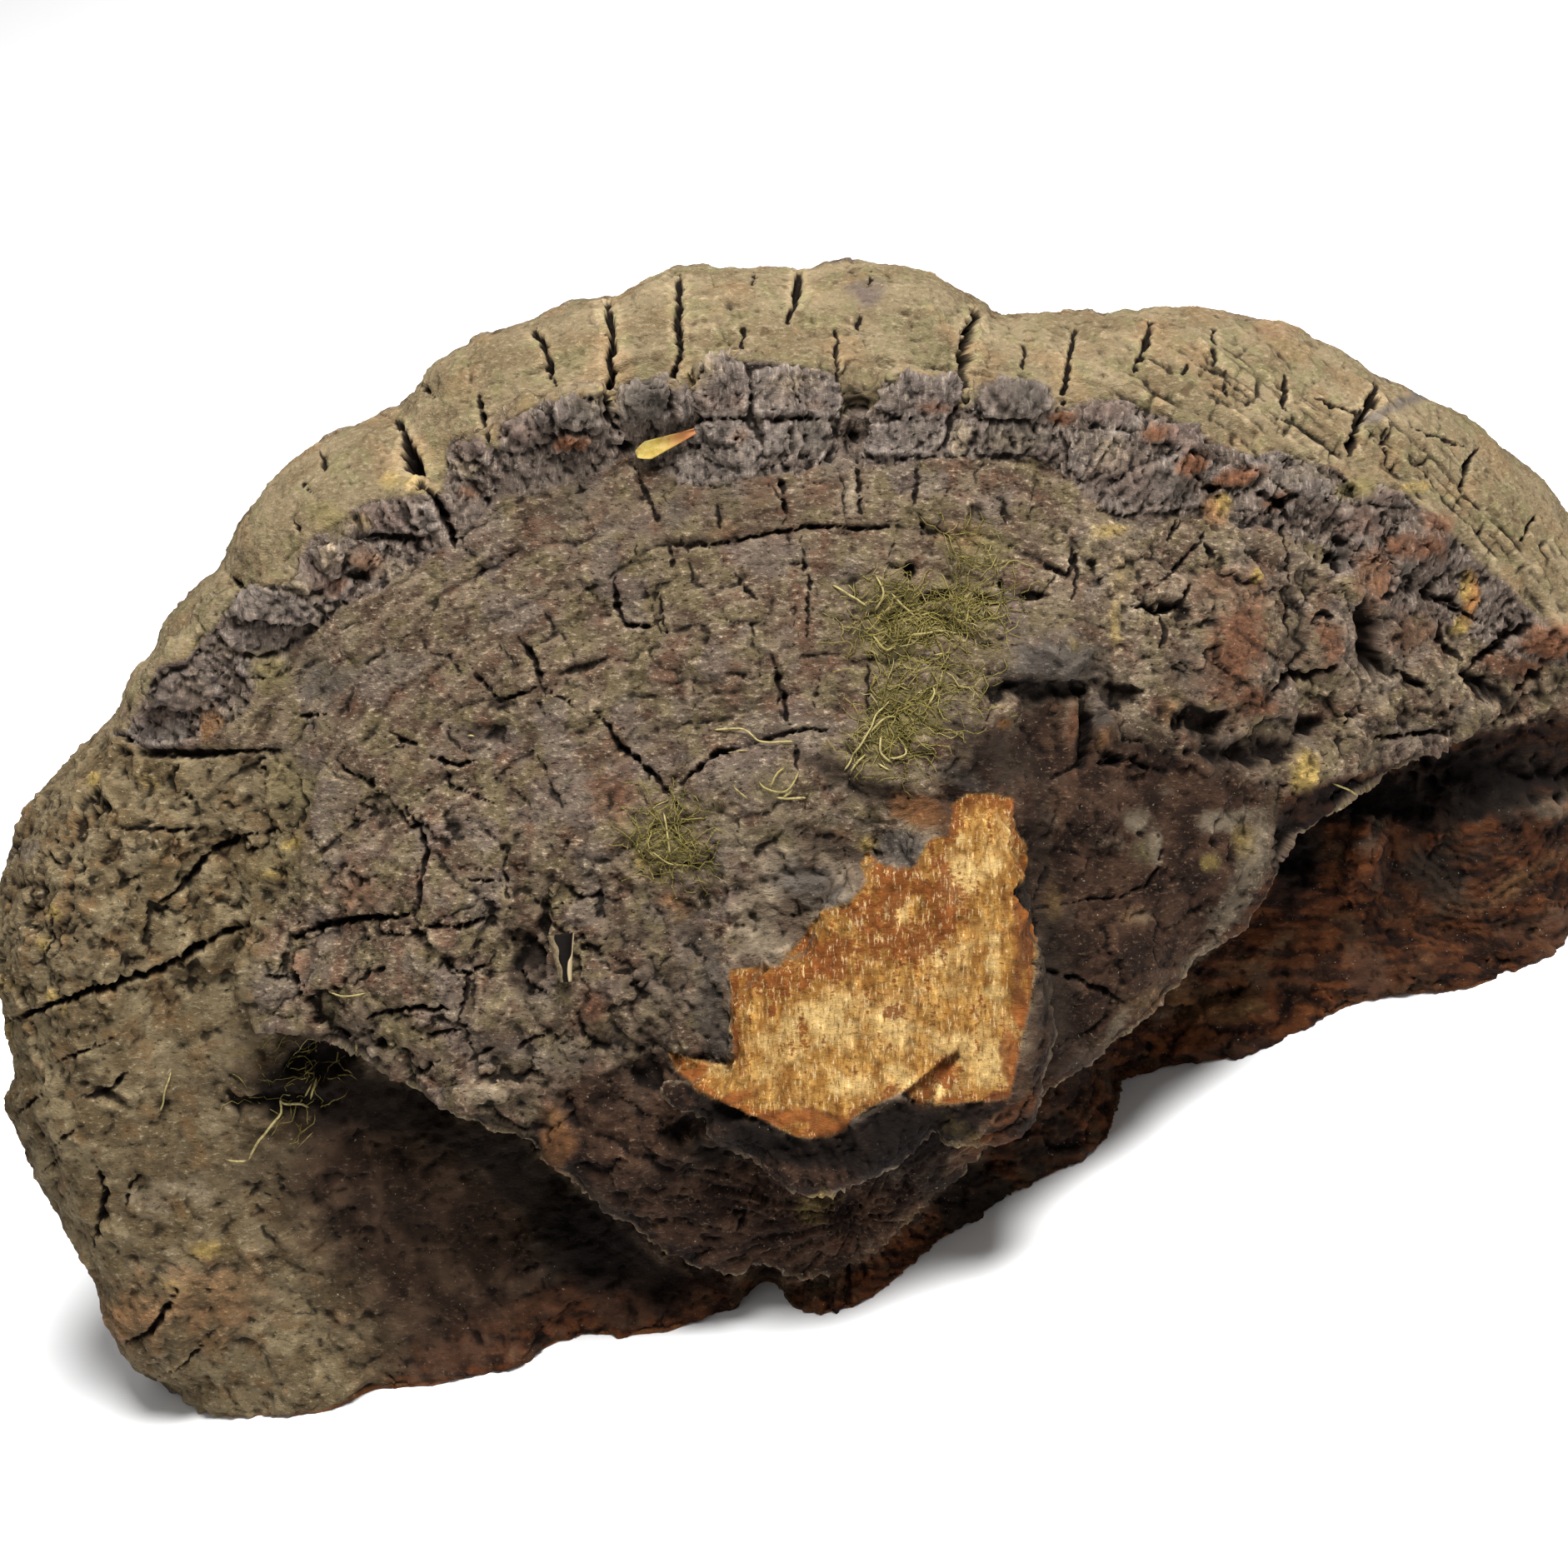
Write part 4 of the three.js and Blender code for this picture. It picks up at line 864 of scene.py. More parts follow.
for size, depth, strays, seed in CRUST_PLATES:
    edge, height = plates(on_crust, size, strays, seed)
    lift[on_crust] += share * depth * (height - 0.4 * smooth(0.1 * size[0], 0.0, edge))
    # The plate borders of the crust are darkened as painted shade.
    mark_at_least("crack", on_crust, 0.5 * share * smooth(0.06 * size[0], 0.01 * size[0], edge))
grooves = 0.22 * rough(around[on_crust], (0.5, 3.0, 3.0), 3, 76)
lift[on_crust] += share * (grooves + 0.22 * rough(place[on_crust], 1.2, 3, 79))

# The torn face. The flesh broke there along its fibres, which run straight up the picture, and left a short step
# near its lower right corner. Its patches are laid out as the lumps are, with a strength for a height.
STEP_GAP = [(1080, 1314), (1150, 1260), (1154, 1272), (1128, 1300), (1119, 1330), (1104, 1332)]
STEP_DEPTH = 1.2
TORN_EDGE = 0.94  # the size of the torn face inside its worn edge
FLESH_SPOTS = {
    "mottle": [
        (1075, 1060, 34, 26, 1.0), (1125, 1075, 24, 26, 1.0), (1130, 1105, 22, 34, 1.0, 10),
        (1090, 1130, 40, 30, 0.8), (1045, 1095, 26, 30, 0.8, 30), (1040, 1140, 60, 18, 0.6, 10),
        (985, 1150, 26, 34, 1.0, 35), (930, 1180, 50, 18, 0.8), (926, 1212, 7, 6, 1.0), (1000, 1160, 30, 16, 0.6),
        (1074, 1214, 14, 9, 0.7), (1040, 1195, 24, 10, 0.4), (1140, 985, 12, 30, 0.9), (1128, 1035, 12, 20, 0.8),
        (1165, 1090, 10, 24, 0.6), (884, 1185, 16, 24, 0.7), (880, 1262, 12, 30, 0.5, 20), (960, 1245, 12, 20, 0.3),
        (1136, 1290, 16, 20, 1.0, -30), (1175, 1318, 30, 8, 0.7),
    ],
    "cream": [
        (944, 1250, 22, 20, 1.0), (900, 1290, 30, 16, 0.4, 10), (990, 1215, 34, 20, 0.7), (1030, 1240, 40, 34, 0.5),
        (1162, 1058, 22, 26, 0.9), (1190, 1040, 14, 30, 0.7), (1085, 1095, 18, 20, 0.8), (1122, 1150, 22, 14, 0.7),
        (1190, 1155, 14, 30, 0.9), (1170, 1120, 18, 40, 0.6), (1160, 1200, 30, 50, 0.7),
        (1185, 1270, 26, 40, 1.0, 10), (1115, 1250, 34, 16, 0.6), (1020, 1300, 30, 14, 0.7),
        (1125, 1315, 10, 14, 0.9), (1060, 1285, 40, 16, 0.6, -10), (1152, 1005, 8, 8, 0.9),
        (1195, 1190, 18, 14, 0.8, -20),
    ],
    "skin_edge": [
        (1228, 1130, 13, 50, 1.0), (1205, 1090, 7, 50, 0.6), (1226, 1200, 12, 40, 1.0, 6),
        (1212, 1270, 12, 44, 0.9, 10), (990, 1345, 36, 16, 1.0, -5), (930, 1345, 34, 10, 1.0, 15),
        (880, 1320, 30, 9, 1.0, 25), (832, 1290, 28, 9, 1.0, 35), (1200, 1315, 20, 9, 0.9), (1140, 1322, 26, 7, 0.6),
        (1165, 965, 14, 12, 0.7), (1220, 965, 8, 20, 0.9),
    ],
}
fibre = np.stack([place @ picture_right, place @ picture_up, place @ sight], 1)
on_golden, share = covered_by("golden")
torn = 0.35 * rough(fibre[on_golden], (0.8, 4.0, 3.0), 3, 81) + 0.6 * rough(fibre[on_golden], (4, 7, 5), 2, 84)
lift[on_golden] += share * (torn + 0.3 * rough(place[on_golden], 1.1, 3, 86))
step_gap = zone(STEP_GAP, 4, 2)
lift -= STEP_DEPTH * step_gap
inner = np.array(GOLDEN_FACE) * TORN_EDGE + np.mean(GOLDEN_FACE, 0) * (1 - TORN_EDGE)
marks["torn_rim"] = np.maximum(step_gap, marks["golden"] * (1 - zone(inner, 18, 8)))
for name, spots in FLESH_SPOTS.items():
    for near, covered, strength in spots_over(spots, 0.5, 0.8):
        mark_at_least(name, near, strength * covered)

# The wings, the knob and the foot. They are lumpy woody growth beside and below the cap, less weathered than it.
# Old layers show as ridges that curve round a hollow in the foot.
WHORL = [(1640, 1050), (1700, 1010), (1790, 990), (1990, 960), (1990, 1150), (1780, 1180), (1680, 1195), (1640, 1150)]
WHORL_CENTRE = (1775, 975)
RIDGE = 1.5  # millimetres from one layer of the whorl to the next
RIDGE_HEIGHT = 0.14
WING_PLATES = (((6.5, 5, 5), 1.0, 1.6, 101), ((3.0, 2.4, 2.6), 0.5, 0.8, 105))
LUMPY_WING = [(-40, 1000), (80, 890), (360, 900), (380, 1000), (330, 1110), (200, 1170), (60, 1230), (-40, 1240)]
on_wing, share = covered_by("wing")
wrinkled = 0.9 * rough(place[on_wing], 8, 4, 91) + 0.12 * rough(around[on_wing], (2.2, 5, 5), 3, 93)
lift[on_wing] += share * (wrinkled + 0.3 * rough(place[on_wing], 2.2, 3, 96))
strength = 0.3 * share + 0.5 * (share * zone(LUMPY_WING, 120, 20)[on_wing])
for size, depth, strays, seed in WING_PLATES:
    edge, height = plates(on_wing, size, strays, seed)
    lift[on_wing] += strength * depth * (height - 0.4 * smooth(0.16 * size[1], 0.0, edge))
    split = smooth(0.05 * size[1], 0.01 * size[1], edge)
    split = split * smooth(-0.1, 0.4, rough(place[on_wing], size[0], 2, seed + 9))
    # The plate borders of the wing are darkened as painted shade.
    mark_at_least("crack", on_wing, 0.8 * strength * split)
marks["whorl"] = zone(WHORL, 30, 6)
on_whorl, share = covered_by("whorl")
whorl_away = np.linalg.norm(place[on_whorl] - seen_at(WHORL_CENTRE, base_skin)[0], axis=1)
whorl_wave = np.sin(2 * math.pi * (whorl_away / RIDGE + 1.1 * rough(place[on_whorl], 6, 3, 99)))
lift[on_whorl] += share * RIDGE_HEIGHT * whorl_wave
mark_at_least("ridge", on_whorl, share * (0.5 + 0.5 * whorl_wave))

# The pore surface. It is a layer of fine tubes that all open on the side away from the cap. It is nearly flat,
# with low yearly swells, and all of them lie below the solid's face.
SWELLS_SUNK = 0.8
on_pores, share = covered_by("pores")
swells = 0.45 * rough(around[on_pores], (30, 5, 12), 3, 151) + 0.3 * rough(place[on_pores], 6, 3, 155)
lift[on_pores] += share * (swells - SWELLS_SUNK)

# The colour patches. Lichens, algae, rusty stains and bare flesh show through the crust.
# Each patch is a pixel, half width, half height, strength, and its turn in degrees if it has one.
PATCHES = {
    "rust": [
        (440, 1068, 34, 26, 0.55), (396, 1064, 10, 18, 0.5), (362, 1155, 24, 16, 0.4), (738, 948, 32, 38, 0.6),
        (1690, 760, 40, 30, 0.6), (1600, 850, 50, 20, 0.4, -10), (712, 1210, 22, 30, 0.6), (735, 1158, 14, 20, 0.5),
        (700, 1310, 50, 30, 0.4), (915, 596, 26, 24, 0.4), (986, 598, 26, 24, 0.4), (880, 830, 20, 18, 0.35),
        (978, 812, 18, 16, 0.35), (1480, 770, 34, 78, 0.8, -18), (1500, 840, 26, 30, 0.8), (1460, 700, 30, 24, 0.6),
        (1590, 770, 16, 34, 0.7), (1286, 872, 9, 30, 0.8), (1112, 974, 34, 16, 1.0, -20), (1275, 502, 18, 8, 0.9),
        (1388, 520, 16, 12, 0.8), (1430, 556, 24, 12, 0.9, 25), (1480, 574, 40, 12, 0.9, 12),
        (1530, 600, 22, 12, 0.8, 30), (1640, 630, 30, 20, 0.5), (1646, 690, 30, 40, 0.7),
        (1700, 656, 40, 16, 0.8, -5), (1722, 628, 24, 18, 0.6), (1858, 770, 30, 24, 1.0),
        (1820, 800, 40, 16, 0.7, -15), (686, 532, 24, 9, 1.0), (440, 672, 18, 18, 0.8), (402, 704, 16, 12, 0.7),
        (566, 590, 20, 9, 0.5), (884, 520, 16, 14, 0.3), (868, 478, 24, 12, 0.4), (978, 486, 24, 10, 0.35),
        (1120, 488, 30, 9, 0.6), (450, 1020, 30, 20, 0.3), (1265, 1078, 14, 22, 0.6), (1340, 960, 26, 20, 0.5),
        (900, 1430, 30, 30, 0.5), (930, 1440, 12, 20, 0.6), (1010, 1495, 16, 12, 0.8), (672, 1374, 20, 26, 1.0),
        (630, 1580, 120, 30, 0.5, 12), (780, 1560, 90, 30, 0.7, 8), (560, 1620, 90, 24, 0.6, 12),
        (1640, 1165, 24, 30, 0.8), (1560, 1170, 60, 20, 0.5, 12), (1850, 1120, 60, 24, 0.6, 15),
        (1470, 1260, 60, 8, 0.6, 10), (1545, 700, 30, 18, 0.4), (1400, 1170, 40, 30, 0.3),
    ],
    "orange": [
        (672, 1370, 20, 28, 1.0), (1108, 976, 36, 18, 1.0, -20), (1440, 1205, 90, 24, 0.6), (664, 1336, 14, 12, 0.6),
        (1455, 616, 16, 20, 0.7), (1765, 718, 9, 30, 0.9, -10), (1640, 700, 14, 24, 0.6), (1205, 868, 9, 6, 0.9),
        (1400, 850, 14, 30, 0.4), (1150, 640, 30, 18, 0.5), (1820, 1060, 50, 14, 0.7, 35),
        (1480, 1220, 46, 14, 0.6, 8), (1430, 1180, 30, 12, 0.4), (250, 1560, 70, 50, 0.5, 20),
        (170, 1580, 60, 50, 0.5), (250, 866, 18, 22, 0.7), (640, 930, 30, 20, 0.4), (1325, 888, 10, 12, 0.7),
        (1360, 1100, 18, 12, 0.6), (1010, 1000, 16, 10, 0.5), (1550, 390, 60, 16, 0.4, 8), (880, 640, 30, 14, 0.3),
        (810, 1085, 26, 14, 0.5, -40), (1500, 1150, 60, 20, 0.35, 10),
    ],
    "yellow": [
        (122, 940, 9, 10, 1.0), (180, 938, 12, 9, 0.7), (355, 1011, 12, 8, 1.0), (330, 1051, 15, 7, 0.7),
        (62, 1092, 13, 9, 0.8, -30), (50, 1135, 8, 15, 0.6), (60, 1195, 10, 9, 0.7), (75, 1215, 6, 8, 0.7),
        (10, 1180, 14, 10, 0.5), (6, 1260, 10, 40, 0.5), (250, 1500, 28, 13, 0.7, 5), (244, 1500, 10, 7, 0.9),
        (1563, 925, 14, 22, 1.0), (1448, 1034, 14, 12, 0.9), (1494, 1012, 14, 22, 0.8), (1506, 692, 6, 9, 0.9),
        (1468, 604, 10, 14, 0.8), (1759, 706, 8, 20, 0.9, -15), (1754, 753, 9, 12, 0.8, -20), (1338, 740, 8, 34, 0.7),
        (1265, 1081, 12, 20, 0.5), (1040, 1012, 14, 10, 0.9), (980, 1445, 24, 20, 0.7, 20),
        (1150, 1355, 26, 12, 0.7, -35), (1285, 771, 8, 7, 0.6), (430, 626, 14, 8, 0.6), (480, 577, 34, 12, 0.5, -5),
        (770, 1035, 14, 12, 0.7), (1330, 638, 24, 10, 0.6, 10), (1342, 700, 16, 30, 0.5), (1700, 585, 30, 8, 0.5, 5),
        (1490, 1210, 24, 8, 0.4, 10), (1040, 1010, 16, 8, 0.5), (735, 470, 8, 30, 0.5), (835, 455, 16, 14, 0.5),
        (300, 1260, 34, 5, 0.3, 10), (200, 1540, 30, 8, 0.4, -10),
    ],
    "green": [
        (1070, 755, 50, 70, 0.9), (1085, 855, 44, 34, 1.0), (1160, 720, 50, 40, 0.8), (1180, 665, 40, 40, 0.7),
        (1045, 900, 30, 36, 0.7), (1130, 800, 70, 60, 0.4), (1080, 735, 24, 20, 1.0), (800, 1010, 44, 44, 0.8),
        (930, 945, 60, 20, 0.4), (330, 810, 34, 34, 0.7), (300, 850, 50, 50, 0.35), (395, 622, 30, 20, 0.7, -25),
        (340, 690, 60, 16, 0.4, -35), (1628, 585, 26, 14, 0.9, 10), (700, 480, 60, 12, 0.4, -5),
        (840, 440, 40, 14, 0.4), (1060, 470, 30, 20, 0.3), (1600, 560, 80, 16, 0.4, 15), (350, 960, 40, 70, 0.5),
        (230, 950, 120, 60, 0.3), (330, 1040, 60, 30, 0.5), (490, 918, 24, 24, 0.5), (480, 1240, 36, 24, 0.5, 10),
        (410, 1195, 24, 14, 0.6), (620, 1215, 60, 24, 0.3), (320, 1360, 60, 50, 0.3), (1390, 850, 30, 50, 0.2),
        (1370, 1022, 16, 16, 0.5), (1380, 1200, 60, 16, 0.3, 5), (900, 1000, 60, 14, 0.5, -10),
        (540, 470, 60, 20, 0.3, -30), (1730, 830, 50, 40, 0.3), (680, 600, 60, 20, 0.2, -20),
        (300, 620, 60, 60, 0.3, -40), (1040, 640, 60, 14, 0.2), (240, 1270, 90, 40, 0.25, 15),
    ],
    "slate": [
        (1260, 792, 56, 32, 1.0), (1230, 812, 44, 20, 0.6), (776, 482, 32, 26, 1.0), (216, 878, 14, 16, 0.9),
        (1605, 668, 14, 22, 0.9), (1684, 690, 16, 20, 0.8), (680, 615, 40, 28, 0.5), (384, 815, 40, 44, 0.6),
        (972, 522, 24, 20, 0.8), (860, 560, 44, 20, 0.5), (692, 494, 30, 20, 0.6), (1216, 480, 40, 18, 0.9),
        (1215, 524, 40, 20, 0.8), (1256, 532, 18, 14, 0.7), (1320, 858, 14, 28, 0.8, 5),
        (1345, 592, 40, 24, 0.6, -30), (1400, 590, 50, 24, 0.6), (970, 1060, 50, 26, 0.8, -25),
        (1080, 1020, 40, 24, 0.8), (1010, 985, 60, 14, 0.4, -15), (1160, 935, 40, 16, 0.7, -30),
        (850, 1200, 24, 60, 0.7), (860, 1250, 24, 30, 0.6), (1075, 1400, 60, 30, 0.4), (30, 1020, 26, 14, 0.4),
        (1050, 350, 16, 20, 0.6), (1034, 345, 20, 8, 0.6), (800, 620, 30, 30, 0.3), (1690, 480, 60, 8, 0.7, 25),
        (1550, 395, 50, 6, 0.3, 8), (570, 580, 20, 10, 0.4), (1110, 520, 30, 16, 0.4), (320, 730, 60, 26, 0.3),
        (1545, 575, 40, 20, 0.4, 10), (400, 1040, 20, 26, 0.4), (190, 1450, 60, 60, 0.3),
    ],
    "purple": [
        (190, 860, 36, 20, 0.7, -10), (230, 828, 40, 24, 0.6, -20), (325, 760, 60, 24, 0.5), (380, 690, 26, 26, 0.8),
        (460, 622, 34, 20, 0.9), (570, 540, 24, 14, 0.8), (628, 520, 34, 24, 0.7, -20), (1350, 580, 50, 36, 0.8, -30),
        (1420, 525, 24, 16, 0.8), (1330, 495, 34, 16, 0.8), (1666, 598, 20, 10, 0.9), (1625, 625, 34, 22, 0.7),
        (1260, 540, 20, 10, 0.7), (868, 470, 34, 36, 0.5), (950, 468, 50, 24, 0.4), (1040, 352, 20, 16, 0.7),
        (1100, 476, 46, 24, 0.4), (500, 650, 30, 10, 0.4), (1590, 620, 30, 14, 0.5, 20), (1200, 480, 24, 16, 0.6),
        (1570, 560, 40, 16, 0.4, 15), (430, 1000, 60, 40, 0.25), (1650, 720, 40, 40, 0.3),
    ],
    "pale": [
        (1154, 526, 14, 20, 0.9), (1350, 690, 120, 70, 0.4), (1440, 640, 60, 30, 0.35), (1206, 528, 34, 14, 0.7),
        (560, 562, 18, 14, 0.6), (394, 668, 10, 16, 0.8), (290, 784, 34, 8, 0.6, -10), (235, 820, 24, 18, 0.5),
        (960, 460, 50, 14, 0.6), (860, 448, 28, 12, 0.5), (1320, 540, 40, 24, 0.6, -20),
        (1018, 590, 10, 26, 0.7, -15), (590, 1310, 26, 8, 0.7, -5), (1400, 950, 10, 6, 0.3),
        (460, 680, 50, 16, 0.5, -20), (420, 760, 60, 30, 0.35, -20), (1290, 676, 24, 12, 0.5),
        (1560, 680, 24, 24, 0.5), (910, 1115, 30, 44, 0.9, 15), (1505, 1030, 20, 50, 0.9, -20),
        (1476, 1090, 30, 16, 0.9, 45), (1366, 985, 16, 14, 0.8), (1470, 985, 40, 12, 0.8, 5),
        (1385, 1015, 8, 22, 0.7), (1320, 1005, 30, 14, 0.4, -10), (1365, 1100, 14, 8, 0.7),
        (1360, 820, 30, 60, 0.5, -15), (1640, 830, 30, 24, 0.5), (1340, 1230, 8, 26, 0.6, -40),
        (1440, 1150, 40, 6, 0.6, 40), (1720, 820, 40, 34, 0.5), (1480, 660, 40, 24, 0.4), (1560, 730, 30, 20, 0.3),
        (1342, 720, 24, 40, 0.6), (220, 1440, 60, 60, 0.3), (890, 1005, 50, 20, 0.8, -30),
        (960, 975, 40, 10, 0.5, -20), (1400, 1215, 24, 6, 0.6, 20), (1645, 1005, 14, 34, 0.4, -20),
        (1860, 970, 26, 14, 0.6), (1340, 1228, 6, 24, 0.6, -50), (160, 1000, 60, 30, 0.25),
    ],
    # The black patches are partly black stain and partly painted shade, in pits and cavities and under the overhangs.
    "black": [
        (1250, 824, 56, 22, 1.0, 4), (1330, 836, 24, 22, 0.9), (1445, 874, 30, 18, 1.0), (1500, 900, 60, 26, 0.8),
        (1024, 520, 20, 26, 0.6), (1028, 480, 20, 28, 0.4), (630, 1150, 26, 40, 0.8), (1640, 765, 16, 44, 0.8),
        (1655, 800, 24, 12, 0.6), (1550, 1015, 24, 40, 1.0, 10), (1660, 965, 70, 30, 1.0),
        (1780, 940, 110, 40, 0.9, -5), (1720, 1040, 60, 40, 0.6), (390, 1262, 60, 26, 0.9, 15),
        (340, 1325, 60, 18, 0.8), (1250, 1010, 16, 90, 0.5), (1232, 1080, 10, 40, 0.8), (800, 1170, 40, 60, 0.5, 20),
        (780, 1250, 40, 40, 0.6), (900, 1370, 90, 26, 0.9, 15), (1080, 1350, 60, 24, 0.8, -20),
        (1050, 946, 110, 18, 0.8, -26), (1190, 900, 70, 34, 0.6, -30), (1000, 1015, 60, 16, 0.7, -24),
        (700, 1270, 130, 60, 0.5, 12), (460, 1230, 130, 30, 0.3, 12), (770, 1150, 60, 110, 0.45),
        (852, 1240, 24, 90, 0.8), (1262, 1160, 30, 150, 0.6, 6), (830, 1110, 24, 60, 0.5, 20),
        (1640, 880, 200, 40, 0.4, -6), (790, 610, 250, 44, 0.32), (1262, 790, 50, 30, 0.35),
        (1265, 1150, 24, 130, 0.6, 4), (1560, 780, 20, 60, 0.5, 10), (1700, 740, 60, 20, 0.4, 20),
        (1420, 800, 20, 60, 0.4, 10), (1290, 1290, 50, 50, 0.5), (1170, 1440, 90, 40, 0.8, -35),
        (1250, 1370, 60, 40, 0.8, -30), (700, 1490, 60, 60, 0.8, 30), (1380, 870, 10, 20, 0.6),
        (1570, 868, 14, 14, 0.8), (490, 645, 40, 6, 0.8, -4), (1600, 640, 10, 20, 0.5), (560, 886, 44, 14, 0.4),
        (600, 846, 18, 10, 0.6), (810, 732, 26, 22, 0.35), (560, 1240, 130, 50, 0.4, 12),
        (1690, 850, 130, 40, 0.3, -5), (1440, 1300, 60, 20, 0.4, 8), (1200, 832, 26, 14, 0.7),
        (1790, 828, 40, 14, 0.7, -30),
    ],
}
for name, spots in PATCHES.items():
    for near, covered, strength in spots_over(spots, 0.35, 0.8):
        mark_at_least(name, near, strength * covered)

# The relief shading. Painted shade darkens what lies lower than the surface round it, and a painted highlight lightens
# what stands out. One mark compares a place with what is close to it, and the other with a wider part of the surface.
RELIEF_STEPS = {"worn": 10, "raised": 60}
INSIDE_BOX = 0.02  # millimetres by which the skin stays inside the solid's own box
mean_beside = neighbours(form)
for name, steps in RELIEF_STEPS.items():
    level = lift.copy()
    for _ in range(steps):
        level += 0.7 * (mean_beside(level) - level)
    marks[name] = lift - level

shaped = place + normal * lift[:, None]
lowest, highest = (np.array(corner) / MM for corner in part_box("bracket"))
shaped = np.clip(shaped, lowest + INSIDE_BOX, highest - INSIDE_BOX)
set_places(form, shaped)

# The pieces of the body. It is one grown thing, kept as a few meshes that meet edge to edge, so that each can carry
# enough detail. Triangles are spent on what faces the camera.
TRIANGLES = 820000
PIECES = ["cap", "hump", "right_cap", "margin", "crust_ring", "wing", "torn_foot", "pore_side"]
HUMP_CORNER = (880, 960)  # the hump lies left of and below this pixel
RIGHT_CAP_FROM = 1235  # the right cap lies right of this one
body = with_modifier(
    form, "DECIMATE", 1 - faces_camera, ratio=min(1.0, TRIANGLES / (2 * len(form.polygons))),
    use_collapse_triangulate=True, vertex_group="spare", vertex_group_factor=5,
)
body_places = places(body)
body_normals = normals(body)
shaped_tree = nearest_tree(shaped)
source = np.array([shaped_tree.find(point)[1] for point in body_places])
triangles = np.empty(len(body.polygons) * 3, np.int32)
body.loops.foreach_get("vertex_index", triangles)
triangles = triangles.reshape(-1, 3)

region = np.zeros(len(place), int)  # the cap, and over it whatever other piece a vertex belongs to
region[(pixels[:, 0] < HUMP_CORNER[0]) & (pixels[:, 1] > HUMP_CORNER[1])] = PIECES.index("hump")
region[pixels[:, 0] > RIGHT_CAP_FROM] = PIECES.index("right_cap")
for name, piece in (
    ("margin", "margin"), ("crust", "crust_ring"), ("wing", "wing"), ("golden", "torn_foot"), ("dark", "torn_foot"),
    ("foot", "torn_foot"), ("pores", "pore_side"),
):
    region[marks[name] > 0.5] = PIECES.index(piece)
triangle_region = region[source[triangles[:, 0]]]


# The finish of the body. Its crust is dull and gritty. The colours are what the eye sees in even daylight.
# Mottling that is wide enough for the mesh to carry is laid on its vertices, and the finer grit is in the nodes.
LIGHT_SHARE = 0.56  # what is left of a colour seen in daylight once the light falling on it is taken off
PLAIN = (112, 97, 81)  # the common colour of the crust, which the stains change
# Black is partly a stain and partly painted shade.
STAINS = {
    "rust": (106, 68, 46), "orange": (142, 98, 56), "yellow": (164, 138, 78), "green": (114, 102, 66),
    "slate": (88, 81, 74), "purple": (100, 84, 76), "pale": (150, 133, 110), "black": (40, 28, 20),
}
FADED = 0.1  # share of the plain skin in every stain


class Wire:
    """One output of a material's nodes. Sums on it add the Math nodes that they need."""

    def __init__(self, tree, socket=None):
        self.tree = tree
        self.socket = socket

    def node(self, kind, settings=None, sockets=None, output=0):
        made = self.tree.nodes.new(kind)
        for name, value in (settings or {}).items():
            setattr(made, name, value)
        for key, value in (sockets or {}).items():
            if isinstance(value, Wire):
                self.tree.links.new(value.socket, made.inputs[key])
            else:
                made.inputs[key].default_value = value
        return Wire(self.tree, made.outputs[output] if len(made.outputs) else None)

    def on_mesh(self, name, output="Fac"):
        """What the mesh carries on its vertices under a name."""
        return self.node("ShaderNodeAttribute", {"attribute_name": name}, {}, output)

    def parts(self):
        split = self.node("ShaderNodeSeparateXYZ", {}, {0: self}).socket.node
        return [Wire(self.tree, output) for output in split.outputs]

    def times(self, factor):
        """A colour or a vector, times a value."""
        return self.node("ShaderNodeVectorMath", {"operation": "SCALE"}, {0: self, "Scale": factor})

    def maths(self, operation, *values):
        return self.node("ShaderNodeMath", {"operation": operation}, dict(enumerate(values)))

    def __add__(self, other):
        return self.maths("ADD", self, other)

    def __sub__(self, other):
        return self.maths("SUBTRACT", self, other)

    def __rsub__(self, other):
        return self.maths("SUBTRACT", other, self)

    def __mul__(self, other):
        return self.maths("MULTIPLY", self, other)

    __radd__ = __add__
    __rmul__ = __mul__


def shade(red, green, blue):
    """A colour seen in daylight, 0 to 255, turned into the linear values that a shader takes."""
    values = [value / 255 for value in (red, green, blue)]
    return [LIGHT_SHARE * (((v + 0.055) / 1.055) ** 2.4 if v > 0.04045 else v / 12.92) for v in values] + [1.0]


def mixed(factor, first, second):
    return factor.node("ShaderNodeMix", {"data_type": "RGBA"}, {0: factor, 6: first, 7: second}, 2)


def eased(wire, low, high):
    """0 below low and 1 above high, or the other way round where low is the larger."""
    limits = {"Value": wire, "From Min": low, "From Max": high}
    return wire.node("ShaderNodeMapRange", {"interpolation_type": "SMOOTHSTEP"}, limits)


def graded(wire, low, high, first, second):
    """A colour that changes into another as the wire goes from low to high."""
    return mixed(eased(wire, low, high), shade(*first), shade(*second))


def coated(colour, *coats):
    """A colour under thin coats, each a wire, its low and high, the strength of the coat and its colour."""
    for wire, low, high, strength, paint in coats:
        colour = mixed(eased(wire, low, high) * strength, colour, shade(*paint))
    return colour


def grain(vector, size, detail=4.0, roughness=0.6, stretch=(1, 1, 1)):
    """Noise from 0 to 1 with lumps of this size in the vector's own unit."""
    spread = vector.node(
        "ShaderNodeVectorMath", {"operation": "MULTIPLY"}, {0: vector, 1: [1 / (size * part) for part in stretch]},
    )
    return vector.node(
        "ShaderNodeTexNoise", {}, {"Vector": spread, "Scale": 1.0, "Detail": detail, "Roughness": roughness}, "Fac",
    )


def new_material(name):
    """A bare material, a wire into its nodes, and one that carries the place on the object in millimetres."""
    made = bpy.data.materials.new(name)
    made.use_nodes = True
    made.node_tree.nodes.clear()
    start = Wire(made.node_tree)
    return made, start, start.node("ShaderNodeTexCoord", {}, {}, "Object").times(1 / MM)


